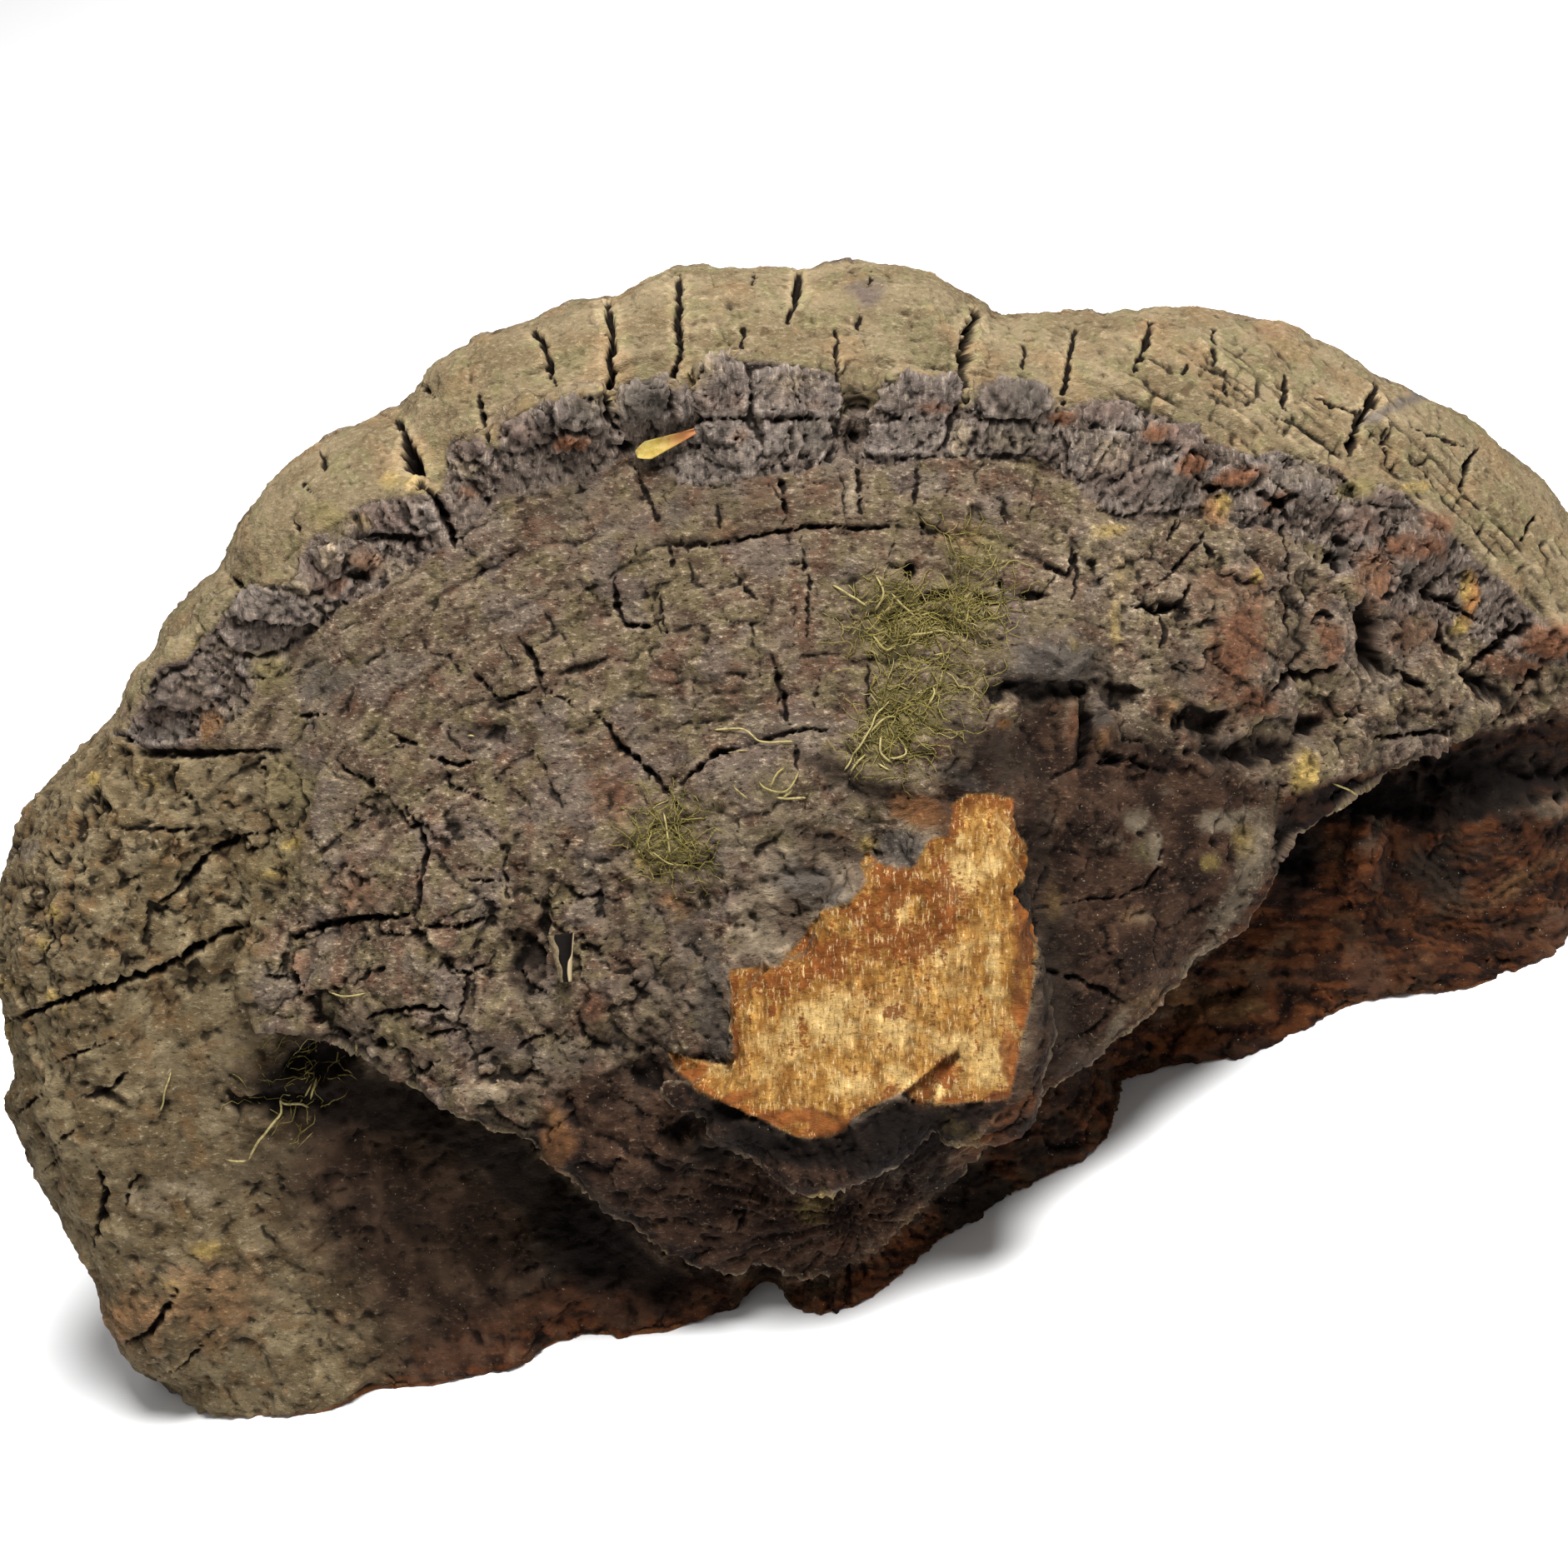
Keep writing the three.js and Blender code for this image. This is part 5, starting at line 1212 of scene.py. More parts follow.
def surface(start, colour, roughness, height, distance, gloss=0.1):
    bumped = start.node("ShaderNodeBump", {}, {"Strength": 1.0, "Distance": distance * MM, "Height": height}, "Normal")
    dressed = start.node(
        "ShaderNodeBsdfPrincipled", {},
        {"Base Color": colour, "Roughness": roughness, "Normal": bumped, "Specular IOR Level": gloss},
    )
    start.node("ShaderNodeOutputMaterial", {}, {"Surface": dressed})


def mottled(laid_out, size, layers, seed, chosen=slice(None)):
    """Mottling of about 0.5, with a spread of 0.1."""
    values = rough(laid_out[chosen], size, layers, seed)
    return 0.5 + 0.1 * (values - values.mean()) / values.std()


marks["broad"] = mottled(place, 13, 2, 111)
marks["patchy"] = mottled(place, 4.5, 4, 114)
marks["hues"] = mottled(place, 3.2, 3, 119)
marks["warmth"] = mottled(place, (7, 9, 6), 3, 123)
marks["dots"] = mottled(around, (1.5, 1.0, 1.5), 2, 131)
marks["layers"] = mottled(around, (5, 1.5, 3), 3, 127)  # the bands of growth, or the fibres where the flesh is bare
for name, laid_out, size, seed in (
    ("margin", around, (9, 2.4, 6), 134), ("foot", fibre, (4.2, 1.2, 2.8), 139), ("cut", fibre, (4.2, 1.2, 2.8), 139),
    ("golden", fibre, (0.9, 4, 3), 143),
):
    chosen = np.nonzero(marks[name] > 0.5)[0]
    marks["layers"][chosen] = mottled(laid_out, size, 3, seed, chosen)

# The stains are soaked into one tint, and how strongly the skin is stained.
weights = np.stack([marks.pop(name) for name in STAINS], 1)
marks["stained"] = weights.max(1)
weights **= 2
tint = weights @ np.array([shade(*colour)[:3] for colour in STAINS.values()]) + FADED * np.array(shade(*PLAIN)[:3])
tint /= weights.sum(1, keepdims=True) + FADED
titles = sorted(marks)


def crust_finish(name, pores):
    """The skin of the bracket. The pores are pin holes, and only the pore surface has them."""
    made, start, where = new_material(name)
    strand = start.on_mesh("fibre", "Vector")
    mark = {}
    for number in range(0, len(titles), 3):
        mark.update(zip(titles[number : number + 3], start.on_mesh(f"marks_{number}", "Vector").parts()))
    patchy, hues, dots, layers = (mark[name] for name in ("patchy", "hues", "dots", "layers"))
    grit = grain(strand, 0.54, 4, 0.74, (1.5, 0.85, 1.0))
    threads = grain(strand, 0.42, 3, 0.72, (0.8, 3.4, 2))
    specks = grain(where, 0.45, 2, 0.6)

    # The cap's skin, grey-brown with pale grit and dark pits.
    old = coated(
        graded(layers, 0.36, 0.64, (84, 67, 52), (120, 103, 83)),
        (hues, 0.5, 0.62, 0.6, (110, 98, 68)), (hues, 0.44, 0.32, 0.6, (102, 73, 56)),
        (mark["warmth"], 0.52, 0.64, 0.5, (110, 98, 90)), (grit, 0.53, 0.7, 0.9, (176, 157, 132)),
        (grit, 0.47, 0.32, 1, (42, 28, 19)), (dots, 0.4, 0.26, 0.6, (40, 27, 18)),
    )

    # The margin, tan with fine dark pits, and yellow-green where lichen grows along its lower border.
    rim = coated(
        graded(layers, 0.35, 0.65, (124, 106, 78), (150, 132, 102)),
        (mark["broad"], 0.45, 0.7, 0.5, (118, 104, 78)), (hues, 0.5, 0.64, 0.5, (128, 122, 84)),
        (mark["warmth"], 0.46, 0.34, 0.45, (148, 118, 84)), (grit, 0.5, 0.68, 0.7, (176, 158, 128)),
        (grit, 0.45, 0.28, 0.8, (86, 68, 45)), (dots, 0.38, 0.26, 0.6, (76, 59, 39)),
        (mark["border"] * 0.9 + (patchy - 0.5) * 1.2, 0.3, 0.9, 0.8, (150, 136, 72)),
    )

    # The crust ring, slate to purple-brown with pale upright fibres.
    loose = graded(patchy, 0.4, 0.6, (96, 82, 72), (112, 98, 88))
    slab = graded(patchy, 0.35, 0.65, (98, 87, 80), (124, 112, 103))
    broken = coated(
        mixed(mark["chunk"], loose, slab),
        (threads, 0.5, 0.7, 0.7, (164, 150, 136)), (threads, 0.45, 0.3, 0.6, (64, 50, 43)),
        (grit, 0.54, 0.72, 0.6, (166, 152, 135)), (grit, 0.45, 0.28, 0.7, (54, 41, 34)),
    )

    # The wings, olive-brown, and darkened with painted shade towards the overhang.
    side = coated(
        graded(patchy, 0.35, 0.65, (96, 80, 55), (132, 116, 87)),
        (mark["broad"], 0.42, 0.62, 0.4, (94, 80, 60)), (hues, 0.44, 0.34, 0.6, (112, 86, 56)),
        (grit, 0.54, 0.72, 0.8, (172, 157, 129)), (grit, 0.46, 0.3, 0.85, (50, 37, 23)),
    )
    damp = coated(
        graded(patchy, 0.35, 0.65, (44, 30, 20), (76, 57, 42)), (grit, 0.55, 0.75, 0.7, (120, 99, 79)),
    )

    # The knob and the block, dark brown and scaly.
    low = coated(
        graded(patchy, 0.35, 0.65, (36, 22, 14), (66, 46, 33)),
        (grit, 0.54, 0.74, 0.7, (128, 104, 82)), (grit, 0.46, 0.3, 0.8, (26, 16, 11)),
    )

    # The foot, rusty and fibrous where it grew on the trunk, with dark furrows between the layers of the whorl.
    base_side = coated(
        graded(layers, 0.38, 0.62, (40, 20, 10), (94, 53, 27)), (patchy, 0.52, 0.7, 0.5, (90, 66, 44)),
        (grit, 0.55, 0.75, 0.6, (144, 98, 58)), (grit, 0.45, 0.28, 0.7, (30, 15, 8)),
    )
    furrows = mixed(mark["ridge"] * eased(patchy, 0.3, 0.6), shade(16, 9, 5), shade(54, 32, 18))
    base_side = mixed(mark["whorl"] * 0.45, base_side, furrows)

    # The torn face, pale golden flesh with rusty mottles, creamy threads and smooth brown edges.
    speckled = layers * 0.45 + grit * 0.55
    torn = coated(
        graded(layers, 0.35, 0.65, (136, 91, 38), (182, 137, 70)), (patchy, 0.52, 0.66, 0.5, (150, 100, 46)),
        (mark["cream"] * 0.6 + (patchy - 0.5) * 1.6, 0.1, 0.6, 0.8, (212, 178, 114)),
        (mark["mottle"] * 0.2 + speckled, 0.56, 0.64, 0.85, (116, 56, 20)),
        (mark["torn_rim"] * 0.2 + speckled, 0.58, 0.7, 0.9, (124, 68, 28)),
        (threads, 0.47, 0.33, 0.8, (116, 70, 28)), (threads, 0.54, 0.68, 0.65, (234, 204, 150)),
    )
    smooth_edge = graded(patchy, 0.35, 0.65, (92, 50, 25), (146, 84, 38))
    torn = mixed(eased(mark["skin_edge"] + (patchy - 0.5) * 0.5, 0.35, 0.8) * 0.85, torn, smooth_edge)

    # The pore surface, warm brown, and the cut, corky and cinnamon.
    relief = grit
    under = shade(132, 99, 68)
    if pores:
        outwards = where.node("ShaderNodeVectorMath", {"operation": "DISTANCE"}, {0: where, 1: grown_from.tolist()}, 1)
        swirl = grain(where, 8, 5, 0.62)
        bands = grain(outwards.node("ShaderNodeCombineXYZ", {}, {0: outwards + swirl * 6, 1: swirl}), 3.2, 4, 0.6)
        holes = start.node("ShaderNodeTexVoronoi", {}, {"Vector": where, "Scale": 2.4}, "Distance")
        under = coated(
            graded(swirl, 0.38, 0.62, (112, 80, 54), (146, 112, 78)), (bands, 0.42, 0.6, 0.6, (98, 68, 44)),
            (grit, 0.55, 0.75, 0.5, (178, 148, 112)), (holes, 0.32, 0.16, 0.8, (58, 36, 22)),
        )
        relief = grit * 0.4 + bands * 0.8 + eased(holes, 0.16, 0.36) * 0.3
    cork = coated(graded(layers, 0.35, 0.65, (112, 62, 28), (158, 98, 50)), (grit, 0.45, 0.28, 0.8, (70, 36, 16)))

    colour = mixed(mark["wing"], old, mixed(mark["damp"], side, damp))
    for title, coat in (("margin", rim), ("crust", broken), ("foot", base_side), ("dark", low), ("pores", under)):
        colour = mixed(mark[title], colour, coat)
    dull = coated(graded(patchy, 0.4, 0.65, (98, 82, 68), (156, 138, 114)), (grit, 0.46, 0.3, 1, (48, 34, 25)))
    colour = mixed(mark["wedge"] * 0.8, colour, dull)

    # A stain gives the skin its hue, and some of the light and dark grit under it still shows.
    brightness = colour.node("ShaderNodeRGBToBW", {}, {0: colour})
    plain = sum(weight * part for weight, part in zip((0.2126, 0.7152, 0.0722), shade(*PLAIN)))
    ragged = eased(mark["stained"] * 1.1 + (patchy - 0.5) * 1.2 + (grit - 0.5) * 0.8, 0.05, 0.95)
    soaked = start.on_mesh("tint", "Vector").times(0.35 + brightness * (0.65 / plain))
    colour = mixed(ragged * eased(mark["stained"], 0.0, 0.3), colour, soaked)
    colour = mixed(mark["golden"], colour, torn)
    colour = mixed(mark["cut"], colour, cork)

    # Painted shade darkens the hollows, and a painted highlight lightens what stands out.
    painted_highlight = eased(mark["worn"], 0.03, 0.3) * 0.3 + eased(mark["raised"], 0.1, 0.7) * 0.2
    painted_hollow_shade = eased(mark["worn"], -0.03, -0.3) * 0.5 + eased(mark["raised"], -0.1, -0.7) * 0.35
    colour = colour.times(1 + painted_highlight - painted_hollow_shade * (1 - mark["golden"] * 0.7))
    colour = mixed(eased(specks, 0.7, 0.76) * (1 - mark["golden"]) * 0.6, colour, shade(188, 175, 154))
    # Painted shade: the pits, the places under the overhangs and the cracks are darkened towards near black.
    colour = coated(
        colour, (mark["hollow"] + (patchy - 0.5) * 0.6, 0.2, 1.0, 0.7, (26, 18, 13)),
        (mark["deep"] + (patchy - 0.5) * 0.5, 0.1, 0.9, 0.85, (17, 10, 7)),
        (mark["crack"] + (grit - 0.5) * 0.6, 0.3, 0.8, 0.9, (26, 17, 11)),
    )
    surface(start, colour, 0.9, relief, 0.4)
    return made


def ridden(name, mesh, node):
    """Puts a mesh in the scene as a piece of the bracket."""
    piece = placed(name, mesh)
    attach(piece, "root")
    if node:
        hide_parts(node)


finish = crust_finish("weathered_crust", False)
pore_finish = crust_finish("pore_surface", True)
carried = {"fibre": fibre, "tint": tint}
for number in range(0, len(titles), 3):
    three = [marks[title] for title in titles[number : number + 3]]
    carried[f"marks_{number}"] = np.stack((three + three[:1] * 2)[:3], 1)
for number, name in enumerate(PIECES):
    used, joined = np.unique(triangles[triangle_region == number], return_inverse=True)
    mesh = bpy.data.meshes.new(name)
    mesh.from_pydata((body_places[used] * MM).tolist(), [], joined.reshape(-1, 3).tolist())
    for title, values in carried.items():
        kept = mesh.attributes.new(title, "FLOAT_VECTOR", "POINT")
        kept.data.foreach_set("vector", values[source[used]].astype(np.float32).ravel())
    mesh.shade_smooth()
    mesh.normals_split_custom_set_from_vertices(body_normals[used].tolist())
    mesh.materials.append(pore_finish if name == "pore_side" else finish)
    ridden(name, mesh, "bracket")

# The moss. A thin dry mat of creeping leafy strands holds on to the cap in two places, and a wisp of it hangs on
# below the left overhang. Each strand is a tube that follows the skin, and the leafy ones carry tiny leaves.
MOSS_STRAND = 0.055  # radius of a common strand
LONG_STRAND = 0.14
THINNED = 0.68  # share of the strands that the dry mat has kept
STEP = 0.7
LEAF = 0.42
SPREAD = 1.7  # a strand starts at most this many times its bed's spread from the bed's middle
HEADING_SPREAD = 40  # degrees
MOSS_HEIGHT = 0.8  # the furthest that a creeping strand leaves the skin
# Beds of moss: pixel, spread across and down the picture, number of strands, mean heading in degrees, share leafy.
BEDS = {
    "moss_tuft": [
        (1060, 712, 26, 12, 60, -25, 0.3), (1082, 734, 18, 14, 90, -10, 0.9), (1122, 743, 20, 8, 70, 0, 1.0),
        (1156, 724, 14, 10, 60, 40, 1.0), (1172, 680, 22, 30, 60, 80, 0.4), (1198, 722, 14, 8, 30, -20, 0.5),
        (1068, 775, 34, 20, 110, 8, 0.3), (1130, 790, 44, 36, 60, 8, 0.1), (1084, 852, 24, 16, 130, 20, 1.0),
        (1058, 880, 18, 22, 70, 55, 0.4), (1036, 905, 12, 18, 50, 60, 0.3), (1070, 902, 14, 14, 40, 20, 0.4),
        (1100, 820, 40, 20, 40, 10, 0.1), (1150, 752, 20, 16, 30, 70, 0.3), (1050, 745, 16, 16, 40, -40, 0.4),
    ],
    "moss_patch": [
        (800, 1005, 14, 26, 90, 80, 0.9), (775, 1030, 14, 12, 40, 20, 0.8), (820, 1030, 16, 16, 50, 0, 0.5),
    ],
    "moss_wisp": [(335, 1320, 30, 34, 34, 60, 0.2), (370, 1280, 26, 16, 30, 20, 0.2)],
}
# Long strands, each how high it arches over the skin and the pixels it runs through.
LONG_STRANDS = {
    "moss_tuft": [
        (0.6, [(997, 702), (1020, 716), (1042, 729)]), (0.5, [(1069, 711), (1080, 728), (1100, 742)]),
        (0.7, [(1100, 741), (1112, 739), (1120, 734)]), (0.5, [(1078, 773), (1062, 783), (1046, 760)]),
        (1.0, [(1012, 927), (1028, 905), (1042, 880), (1055, 858), (1069, 840)]),
        (0.8, [(1036, 888), (1050, 874), (1062, 863), (1078, 861)]), (0.9, [(1058, 880), (1060, 905), (1072, 918)]),
        (1.1, [(1064, 908), (1074, 917), (1086, 912), (1088, 896), (1078, 888)]),
        (0.8, [(1112, 850), (1124, 836), (1118, 822)]), (0.6, [(1164, 718), (1180, 720), (1194, 718), (1206, 726)]),
        (0.6, [(1160, 752), (1161, 740), (1163, 728)]), (0.5, [(1118, 787), (1130, 786), (1145, 782)]),
        (0.4, [(1080, 764), (1110, 760), (1150, 762)]), (0.5, [(1040, 905), (1030, 915), (1020, 930)]),
        (0.6, [(1052, 916), (1062, 922), (1070, 926)]), (0.5, [(1050, 690), (1062, 712), (1048, 736)]),
    ],
    "moss_patch": [(0.5, [(796, 975), (800, 1000), (806, 1030)]), (0.4, [(780, 1020), (800, 1035), (830, 1040)])],
    "moss_wisp": [
        (1.6, [(298, 1392), (308, 1372), (318, 1350), (326, 1330), (330, 1322), (345, 1319), (360, 1322),
            (372, 1330)]), (1.2, [(366, 1318), (372, 1308), (376, 1296)]),
        (0.8, [(270, 1391), (282, 1394), (298, 1392)]), (0.6, [(372, 1320), (374, 1310), (380, 1290)]),
        (0.6, [(426, 1262), (428, 1254), (426, 1248)]),
    ],
    "loose_threads": [
        (0.7, [(856, 877), (880, 876), (900, 880), (908, 886), (914, 893), (922, 895), (935, 892), (955, 890)]),
        (0.6, [(870, 902), (885, 900), (900, 902)]),
        (1.0, [(911, 938), (914, 948), (930, 951), (948, 946), (956, 934), (960, 925)]),
        (1.0, [(923, 949), (924, 936), (930, 926), (944, 922)]), (0.4, [(878, 942), (890, 952), (900, 960)]),
        (0.5, [(930, 957), (950, 959), (970, 958)]), (0.5, [(936, 957), (948, 955), (952, 946)]),
        (0.8, [(1597, 938), (1610, 945), (1629, 956)]), (0.8, [(560, 884), (566, 880), (572, 884)]),
        (0.6, [(190, 1335), (198, 1310), (205, 1285)]), (0.5, [(395, 1190), (420, 1196), (440, 1192)]),
    ],
}
body_skin = ray_tree(body)


def crept(pixel, heading, count):
    """A strand that creeps over the skin from a pixel."""
    point, up = seen_at(pixel, body_skin)
    way = math.cos(heading) * picture_right + math.sin(heading) * picture_up
    path = []
    height = chance.uniform(0.05, 0.5)
    for _ in range(count):
        path.append(point + up * height)
        way = way - up * (way @ up)
        way = way / np.linalg.norm(way) + chance.normal(0, 0.45, 3)
        near = body_skin.find_nearest(Vector((point + way * STEP) * MM))
        point, up = np.array(near[0]) / MM, np.array(near[1])
        height = np.clip(height + chance.normal(0, 0.12), 0.0, MOSS_HEIGHT)
    return np.array(path)


def arched(height, line):
    """A strand through pixels, that leaves the skin between its ends."""
    corners, reach = measured(line)
    shares = np.linspace(0, 1, max(4, int(reach[-1] / 5)))
    points = []
    for share in shares:
        point, up = seen_at([np.interp(share * reach[-1], reach, corners[:, axis]) for axis in range(2)], body_skin)
        points.append(point + up * (0.15 + height * math.sin(math.pi * share)))
    points = np.array(points)
    for _ in range(3):
        points[1:-1] = (points[:-2] + 2 * points[1:-1] + points[2:]) / 4
    return points


class Strands:
    """Thin tubes and small leaves, gathered for one mesh."""

    SIDES = 4

    def __init__(self):
        self.points = []
        self.faces = []
        self.tones = []

    def tube(self, path, radius, tone):
        """A closed tube along a path, which tapers to its two ends."""
        ways = np.gradient(path, axis=0)
        ways /= np.linalg.norm(ways, axis=1, keepdims=True) + 1e-9
        side = np.cross(ways, sight)
        side /= np.linalg.norm(side, axis=1, keepdims=True) + 1e-9
        other = np.cross(ways, side)
        first = len(self.points)
        for centre, across, upward in zip(path[1:-1], side[1:-1], other[1:-1]):
            for corner in range(self.SIDES):
                turn = 2 * math.pi * corner / self.SIDES
                self.points.append(centre + radius * (math.cos(turn) * across + math.sin(turn) * upward))
        rings = len(path) - 2
        tips = first + rings * self.SIDES
        self.points += [path[0], path[-1]]
        for corner in range(self.SIDES):
            after = (corner + 1) % self.SIDES
            self.faces.append((tips, first + after, first + corner))
            last = first + (rings - 1) * self.SIDES
            self.faces.append((tips + 1, last + corner, last + after))
            for low in range(first, last, self.SIDES):
                high = low + self.SIDES
                self.faces.append((low + corner, low + after, high + after, high + corner))
        self.tones += [tone] * (rings * self.SIDES + 2)

    def leaf(self, foot, way, tone):
        """A small pointed leaf, as a thin closed wedge."""
        across = np.cross(way, sight)
        across /= np.linalg.norm(across) + 1e-9
        first = len(self.points)
        for offset in (-0.25 * across, 0.25 * across, 0.15 * np.cross(way, across), way):
            self.points.append(foot + LEAF * offset)
        for face in ((0, 1, 3), (1, 2, 3), (2, 0, 3), (0, 2, 1)):
            self.faces.append(tuple(first + corner for corner in face))
        self.tones += [tone] * 4

    def piece(self, name, finish, slot, node=None):
        mesh = bpy.data.meshes.new(name)
        mesh.from_pydata((np.array(self.points) * MM).tolist(), [], self.faces)
        carry(mesh, "tone", self.tones)
        mesh.shade_smooth()
        mesh.materials.append(finish)
        ridden(name, mesh, node)


def carry(mesh, name, values):
    """Puts a value on each vertex of a mesh, for its finish."""
    kept = mesh.attributes.new(name, "FLOAT", "POINT")
    kept.data.foreach_set("value", np.array(values, np.float32))


dry_moss, start, where = new_material("dry_moss")
tone = start.on_mesh("tone")
fleck = grain(where, 0.6, 3, 0.6)
colour = coated(
    graded(tone, 0.0, 0.5, (98, 90, 40), (150, 136, 76)), (tone, 0.55, 1.0, 1, (190, 174, 118)),
    (fleck, 0.55, 0.3, 0.6, (78, 62, 34)),
)
surface(start, colour, 0.85, fleck, 0.05)

for name, long_ones in LONG_STRANDS.items():
    strands = Strands()
    for x, y, wide, tall, count, heading, leafy in BEDS.get(name, []):
        for _ in range(round(THINNED * count)):
            spot = [at + spread * np.clip(chance.normal(), -SPREAD, SPREAD) for at, spread in ((x, wide), (y, tall))]
            path = crept(spot, math.radians(heading + chance.normal(0, HEADING_SPREAD)), chance.integers(4, 10))
            tone_here = np.clip(chance.normal(0.4, 0.25), 0, 1)
            strands.tube(path, MOSS_STRAND * chance.uniform(0.6, 1.3), tone_here)
            if chance.random() < leafy:
                for foot, after in zip(path[1:-1], path[2:]):
                    way = (after - foot) / (np.linalg.norm(after - foot) + 1e-9) + chance.normal(0, 0.7, 3)
                    strands.leaf(foot, way / np.linalg.norm(way), tone_here * 0.7)
    for height, line in long_ones:
        strands.tube(arched(height, line), LONG_STRAND * chance.uniform(0.7, 1.1), chance.uniform(0.7, 1.0))
    strands.piece(name + "_strands", dry_moss, "moss", name if name in BEDS else None)

# The bud scale. A papery willow bud scale, blown against the crust ring. It is cupped, blunt and widest at its left
# end and narrow at its right, where it has gone orange.
SCALE_ENDS = [(752, 506), (823, 478)]  # these give its length and direction, and its solid gives its middle
SCALE_HALF_WIDTH = 1.1
SCALE_WIDEST = 0.22  # share of its length from the blunt end to its widest place
SCALE_NARROWS = 0.72  # share of its width that it loses from there to its other end
SCALE_CUP = 0.3
SCALE_THICK = 0.12


def lie_of(node, ends, flatter):
    """How a small thing lies on the bracket: its middle, its way along, its length, its way up and its way across."""
    middle = sum(np.array(corner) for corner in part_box(node)) / 2 / MM
    along = seen_at(ends[1], body_skin)[0] - seen_at(ends[0], body_skin)[0]
    along -= sight * (along @ sight) * flatter
    length = np.linalg.norm(along)
    along /= length
    up = -sight + along * (sight @ along)
    up /= np.linalg.norm(up)
    return middle, along, length, up, np.cross(up, along)


def sheet(name, places_over, columns, rows, thick):
    """A thin closed sheet through the points that places_over gives for a share along it and one across it."""
    points = []
    faces = []
    for column in range(columns + 1):
        for row in range(rows + 1):
            corner = len(points)
            points.append(tuple(places_over(column / columns, 2 * row / rows - 1) * MM))
            if column < columns and row < rows:
                faces.append((corner, corner + rows + 1, corner + rows + 2, corner + 1))
    mesh = bpy.data.meshes.new(name)
    mesh.from_pydata(points, [], faces)
    mesh = with_modifier(mesh, "SOLIDIFY", thickness=thick * MM, offset=0.0)
    mesh.shade_smooth()
    return mesh


scale_middle, scale_along, scale_length, scale_up, scale_across = lie_of("bud_scale", SCALE_ENDS, 0.5)


def bud_scale_place(along, across):
    narrowed = 1 - SCALE_NARROWS * max(0, along - SCALE_WIDEST) / (1 - SCALE_WIDEST)
    width = SCALE_HALF_WIDTH * min(1, (along / SCALE_WIDEST + 0.1) ** 0.5) * narrowed
    curl = SCALE_CUP * across * across + 0.3 * (2 * along - 1) ** 2 + 0.05 * math.sin(9 * along + 3 * across)
    return (
        scale_middle + scale_along * scale_length * (along - 0.5) + scale_across * width * across
        + scale_up * (0.5 + curl)
    )


papery, start, where = new_material("bud_scale")
tip = start.on_mesh("tip")
mottling = grain(where, 1.2, 5, 0.65)
colour = coated(
    graded(mottling, 0.35, 0.65, (178, 150, 66), (206, 184, 108)),
    (tip + (mottling - 0.5) * 0.5, 0.35, 0.85, 1, (176, 116, 70)),
    (grain(where, 0.5, 3, 0.6), 0.55, 0.7, 0.6, (146, 104, 44)),
)
surface(start, colour, 0.6, mottling, 0.08)
bud = sheet("bud_scale_sheet", bud_scale_place, 30, 12, SCALE_THICK)
carry(bud, "tip", ((places(bud) - scale_middle) @ scale_along) / scale_length + 0.5)
bud.materials.append(papery)
ridden("bud_scale_sheet", bud, "bud_scale")

# The husk. A split seed husk stuck beside a pit. It is a tapering tube, torn open along the side that is seen, with a
# broad left flap, a narrow pale right one, and an inside painted near black as shade.
HUSK_ENDS = [(673, 1121), (679, 1178)]
HUSK_HALF_WIDTHS = (1.55, 0.6)  # at its top and at its foot
HUSK_THICK = 0.2
HUSK_STANDS_OUT = 0.35
HUSK_FLATTENED = 0.7  # its depth as a share of its width
LEFT_TEAR = (26, 20)  # degrees from the front to its torn edges, at the top and at the foot
RIGHT_TEAR = (96, 30)
husk_middle, husk_along, husk_length, husk_up, husk_across = lie_of("husk", HUSK_ENDS, 0.6)
husk_across *= np.sign(husk_across @ picture_right)


def between(pair, share):
    return pair[0] + (pair[1] - pair[0]) * share


def husk_place(along, across):
    left = math.radians(between(LEFT_TEAR, along) + 7 * math.sin(15 * along))
    right = math.radians(between(RIGHT_TEAR, smooth(0.35, 0.6, along)) + 6 * math.sin(11 * along + 2))
    turn = -left - (across + 1) / 2 * (2 * math.pi - left - right)
    width = between(HUSK_HALF_WIDTHS, along**0.8)
    return (
        husk_middle + husk_along * husk_length * (along - 0.5) + husk_across * width * math.sin(turn)
        + husk_up * (HUSK_STANDS_OUT + HUSK_FLATTENED * width * math.cos(turn))
    )


pale_husk, start, where = new_material("husk")
mottling = grain(where, 0.8, 5, 0.65)
colour = graded(mottling, 0.35, 0.65, (96, 82, 62), (148, 130, 100))
colour = mixed(start.on_mesh("right_flap"), colour, shade(188, 168, 132))
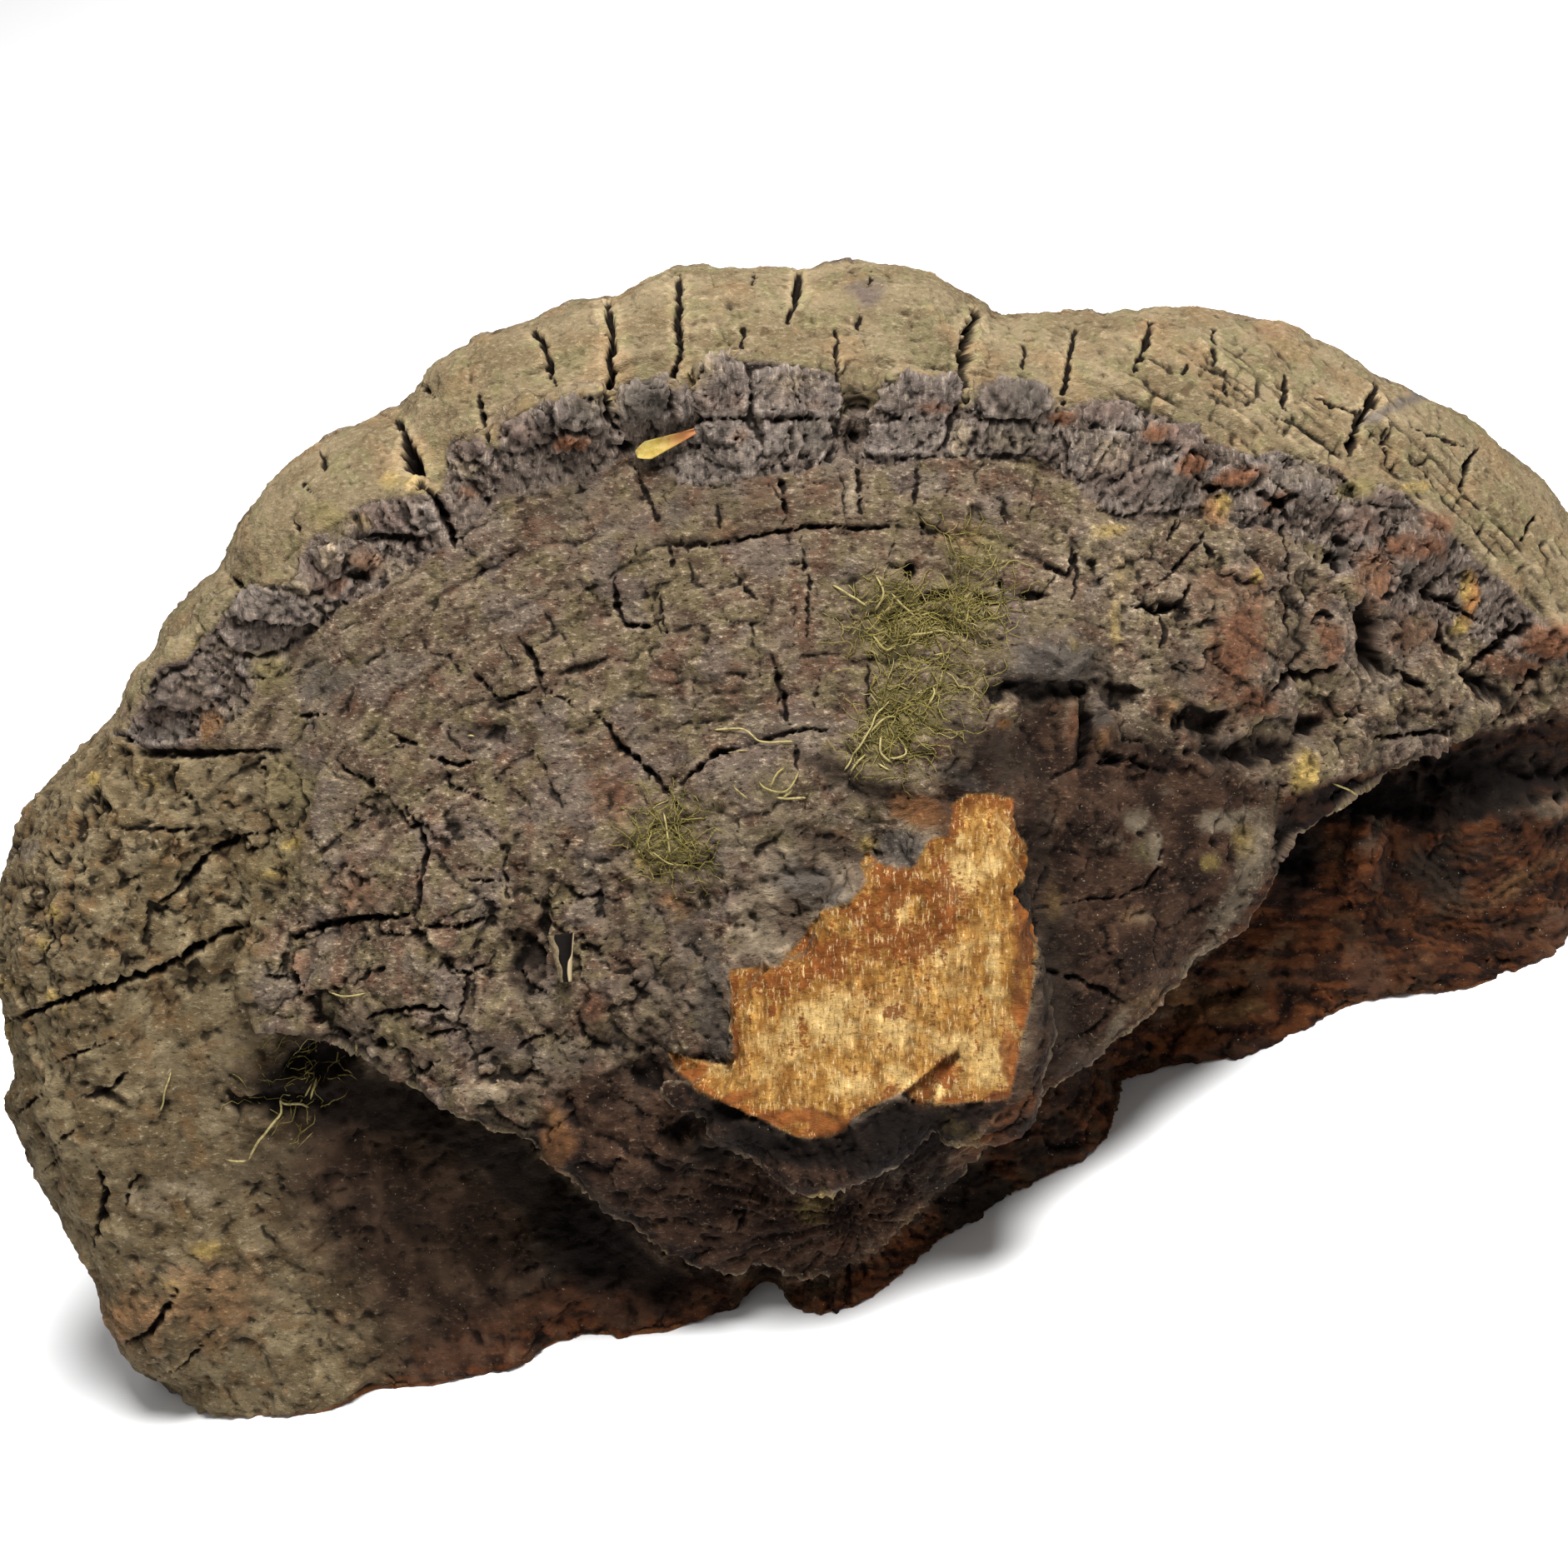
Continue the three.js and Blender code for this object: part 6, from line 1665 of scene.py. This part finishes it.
# Painted shade: the inside of the husk is near black.
colour = mixed(start.on_mesh("inside"), colour, shade(16, 9, 6))
surface(start, colour, 0.8, mottling, 0.08)
husk = sheet("husk_shell", husk_place, 26, 24, HUSK_THICK)
offsets = places(husk) - husk_middle
share_along = np.clip(offsets @ husk_along / husk_length + 0.5, 0, 1)
sideways = offsets @ husk_across
reach = np.hypot(sideways, (offsets @ husk_up - HUSK_STANDS_OUT) / HUSK_FLATTENED)
carry(husk, "inside", smooth(0.03, -0.03, reach - between(HUSK_HALF_WIDTHS, share_along**0.8)))
carry(husk, "right_flap", smooth(0.2, 0.5, sideways))
husk.materials.append(pale_husk)
ridden("husk_shell", husk, "husk")

# The room. It has a plain pale floor, an even pale sky, and one large soft lamp above the margin.
# Sizes are in metres.
FLOOR = 3.0
FLOOR_COLOUR = (0.9, 0.9, 0.9, 1)
SKY_STRENGTH = 0.34
LAMP_SIZE = 0.45
LAMP_POWER = 22
LAMP_AT = Vector((0.2, -0.22, 0.85))
LAMP_AIM = Vector((0, 0, 0.05))
floor_mesh = bpy.data.meshes.new("floor")
floor_mesh.from_pydata(
    [(FLOOR * x, FLOOR * y, 0) for x, y in ((-1, -1), (1, -1), (1, 1), (-1, 1))], [], [(0, 1, 2, 3)],
)
floor = placed("floor", floor_mesh)
pale = bpy.data.materials.new("pale_floor")
pale.use_nodes = True
pale.node_tree.nodes["Principled BSDF"].inputs["Base Color"].default_value = FLOOR_COLOUR
pale.node_tree.nodes["Principled BSDF"].inputs["Roughness"].default_value = 0.9
floor_mesh.materials.append(pale)

world = bpy.data.worlds.new("room")
world.use_nodes = True
world.node_tree.nodes["Background"].inputs["Color"].default_value = (1, 1, 1, 1)
world.node_tree.nodes["Background"].inputs["Strength"].default_value = SKY_STRENGTH
bpy.context.scene.world = world

lamp_data = bpy.data.lights.new("lamp", "AREA")
lamp_data.shape = "DISK"
lamp_data.size = LAMP_SIZE
lamp_data.energy = LAMP_POWER
lamp = placed("lamp", lamp_data)
lamp.matrix_world = Matrix.Translation(LAMP_AT) @ (LAMP_AIM - LAMP_AT).to_track_quat("-Z", "Y").to_matrix().to_4x4()

bpy.context.scene.view_settings.view_transform = "Standard"
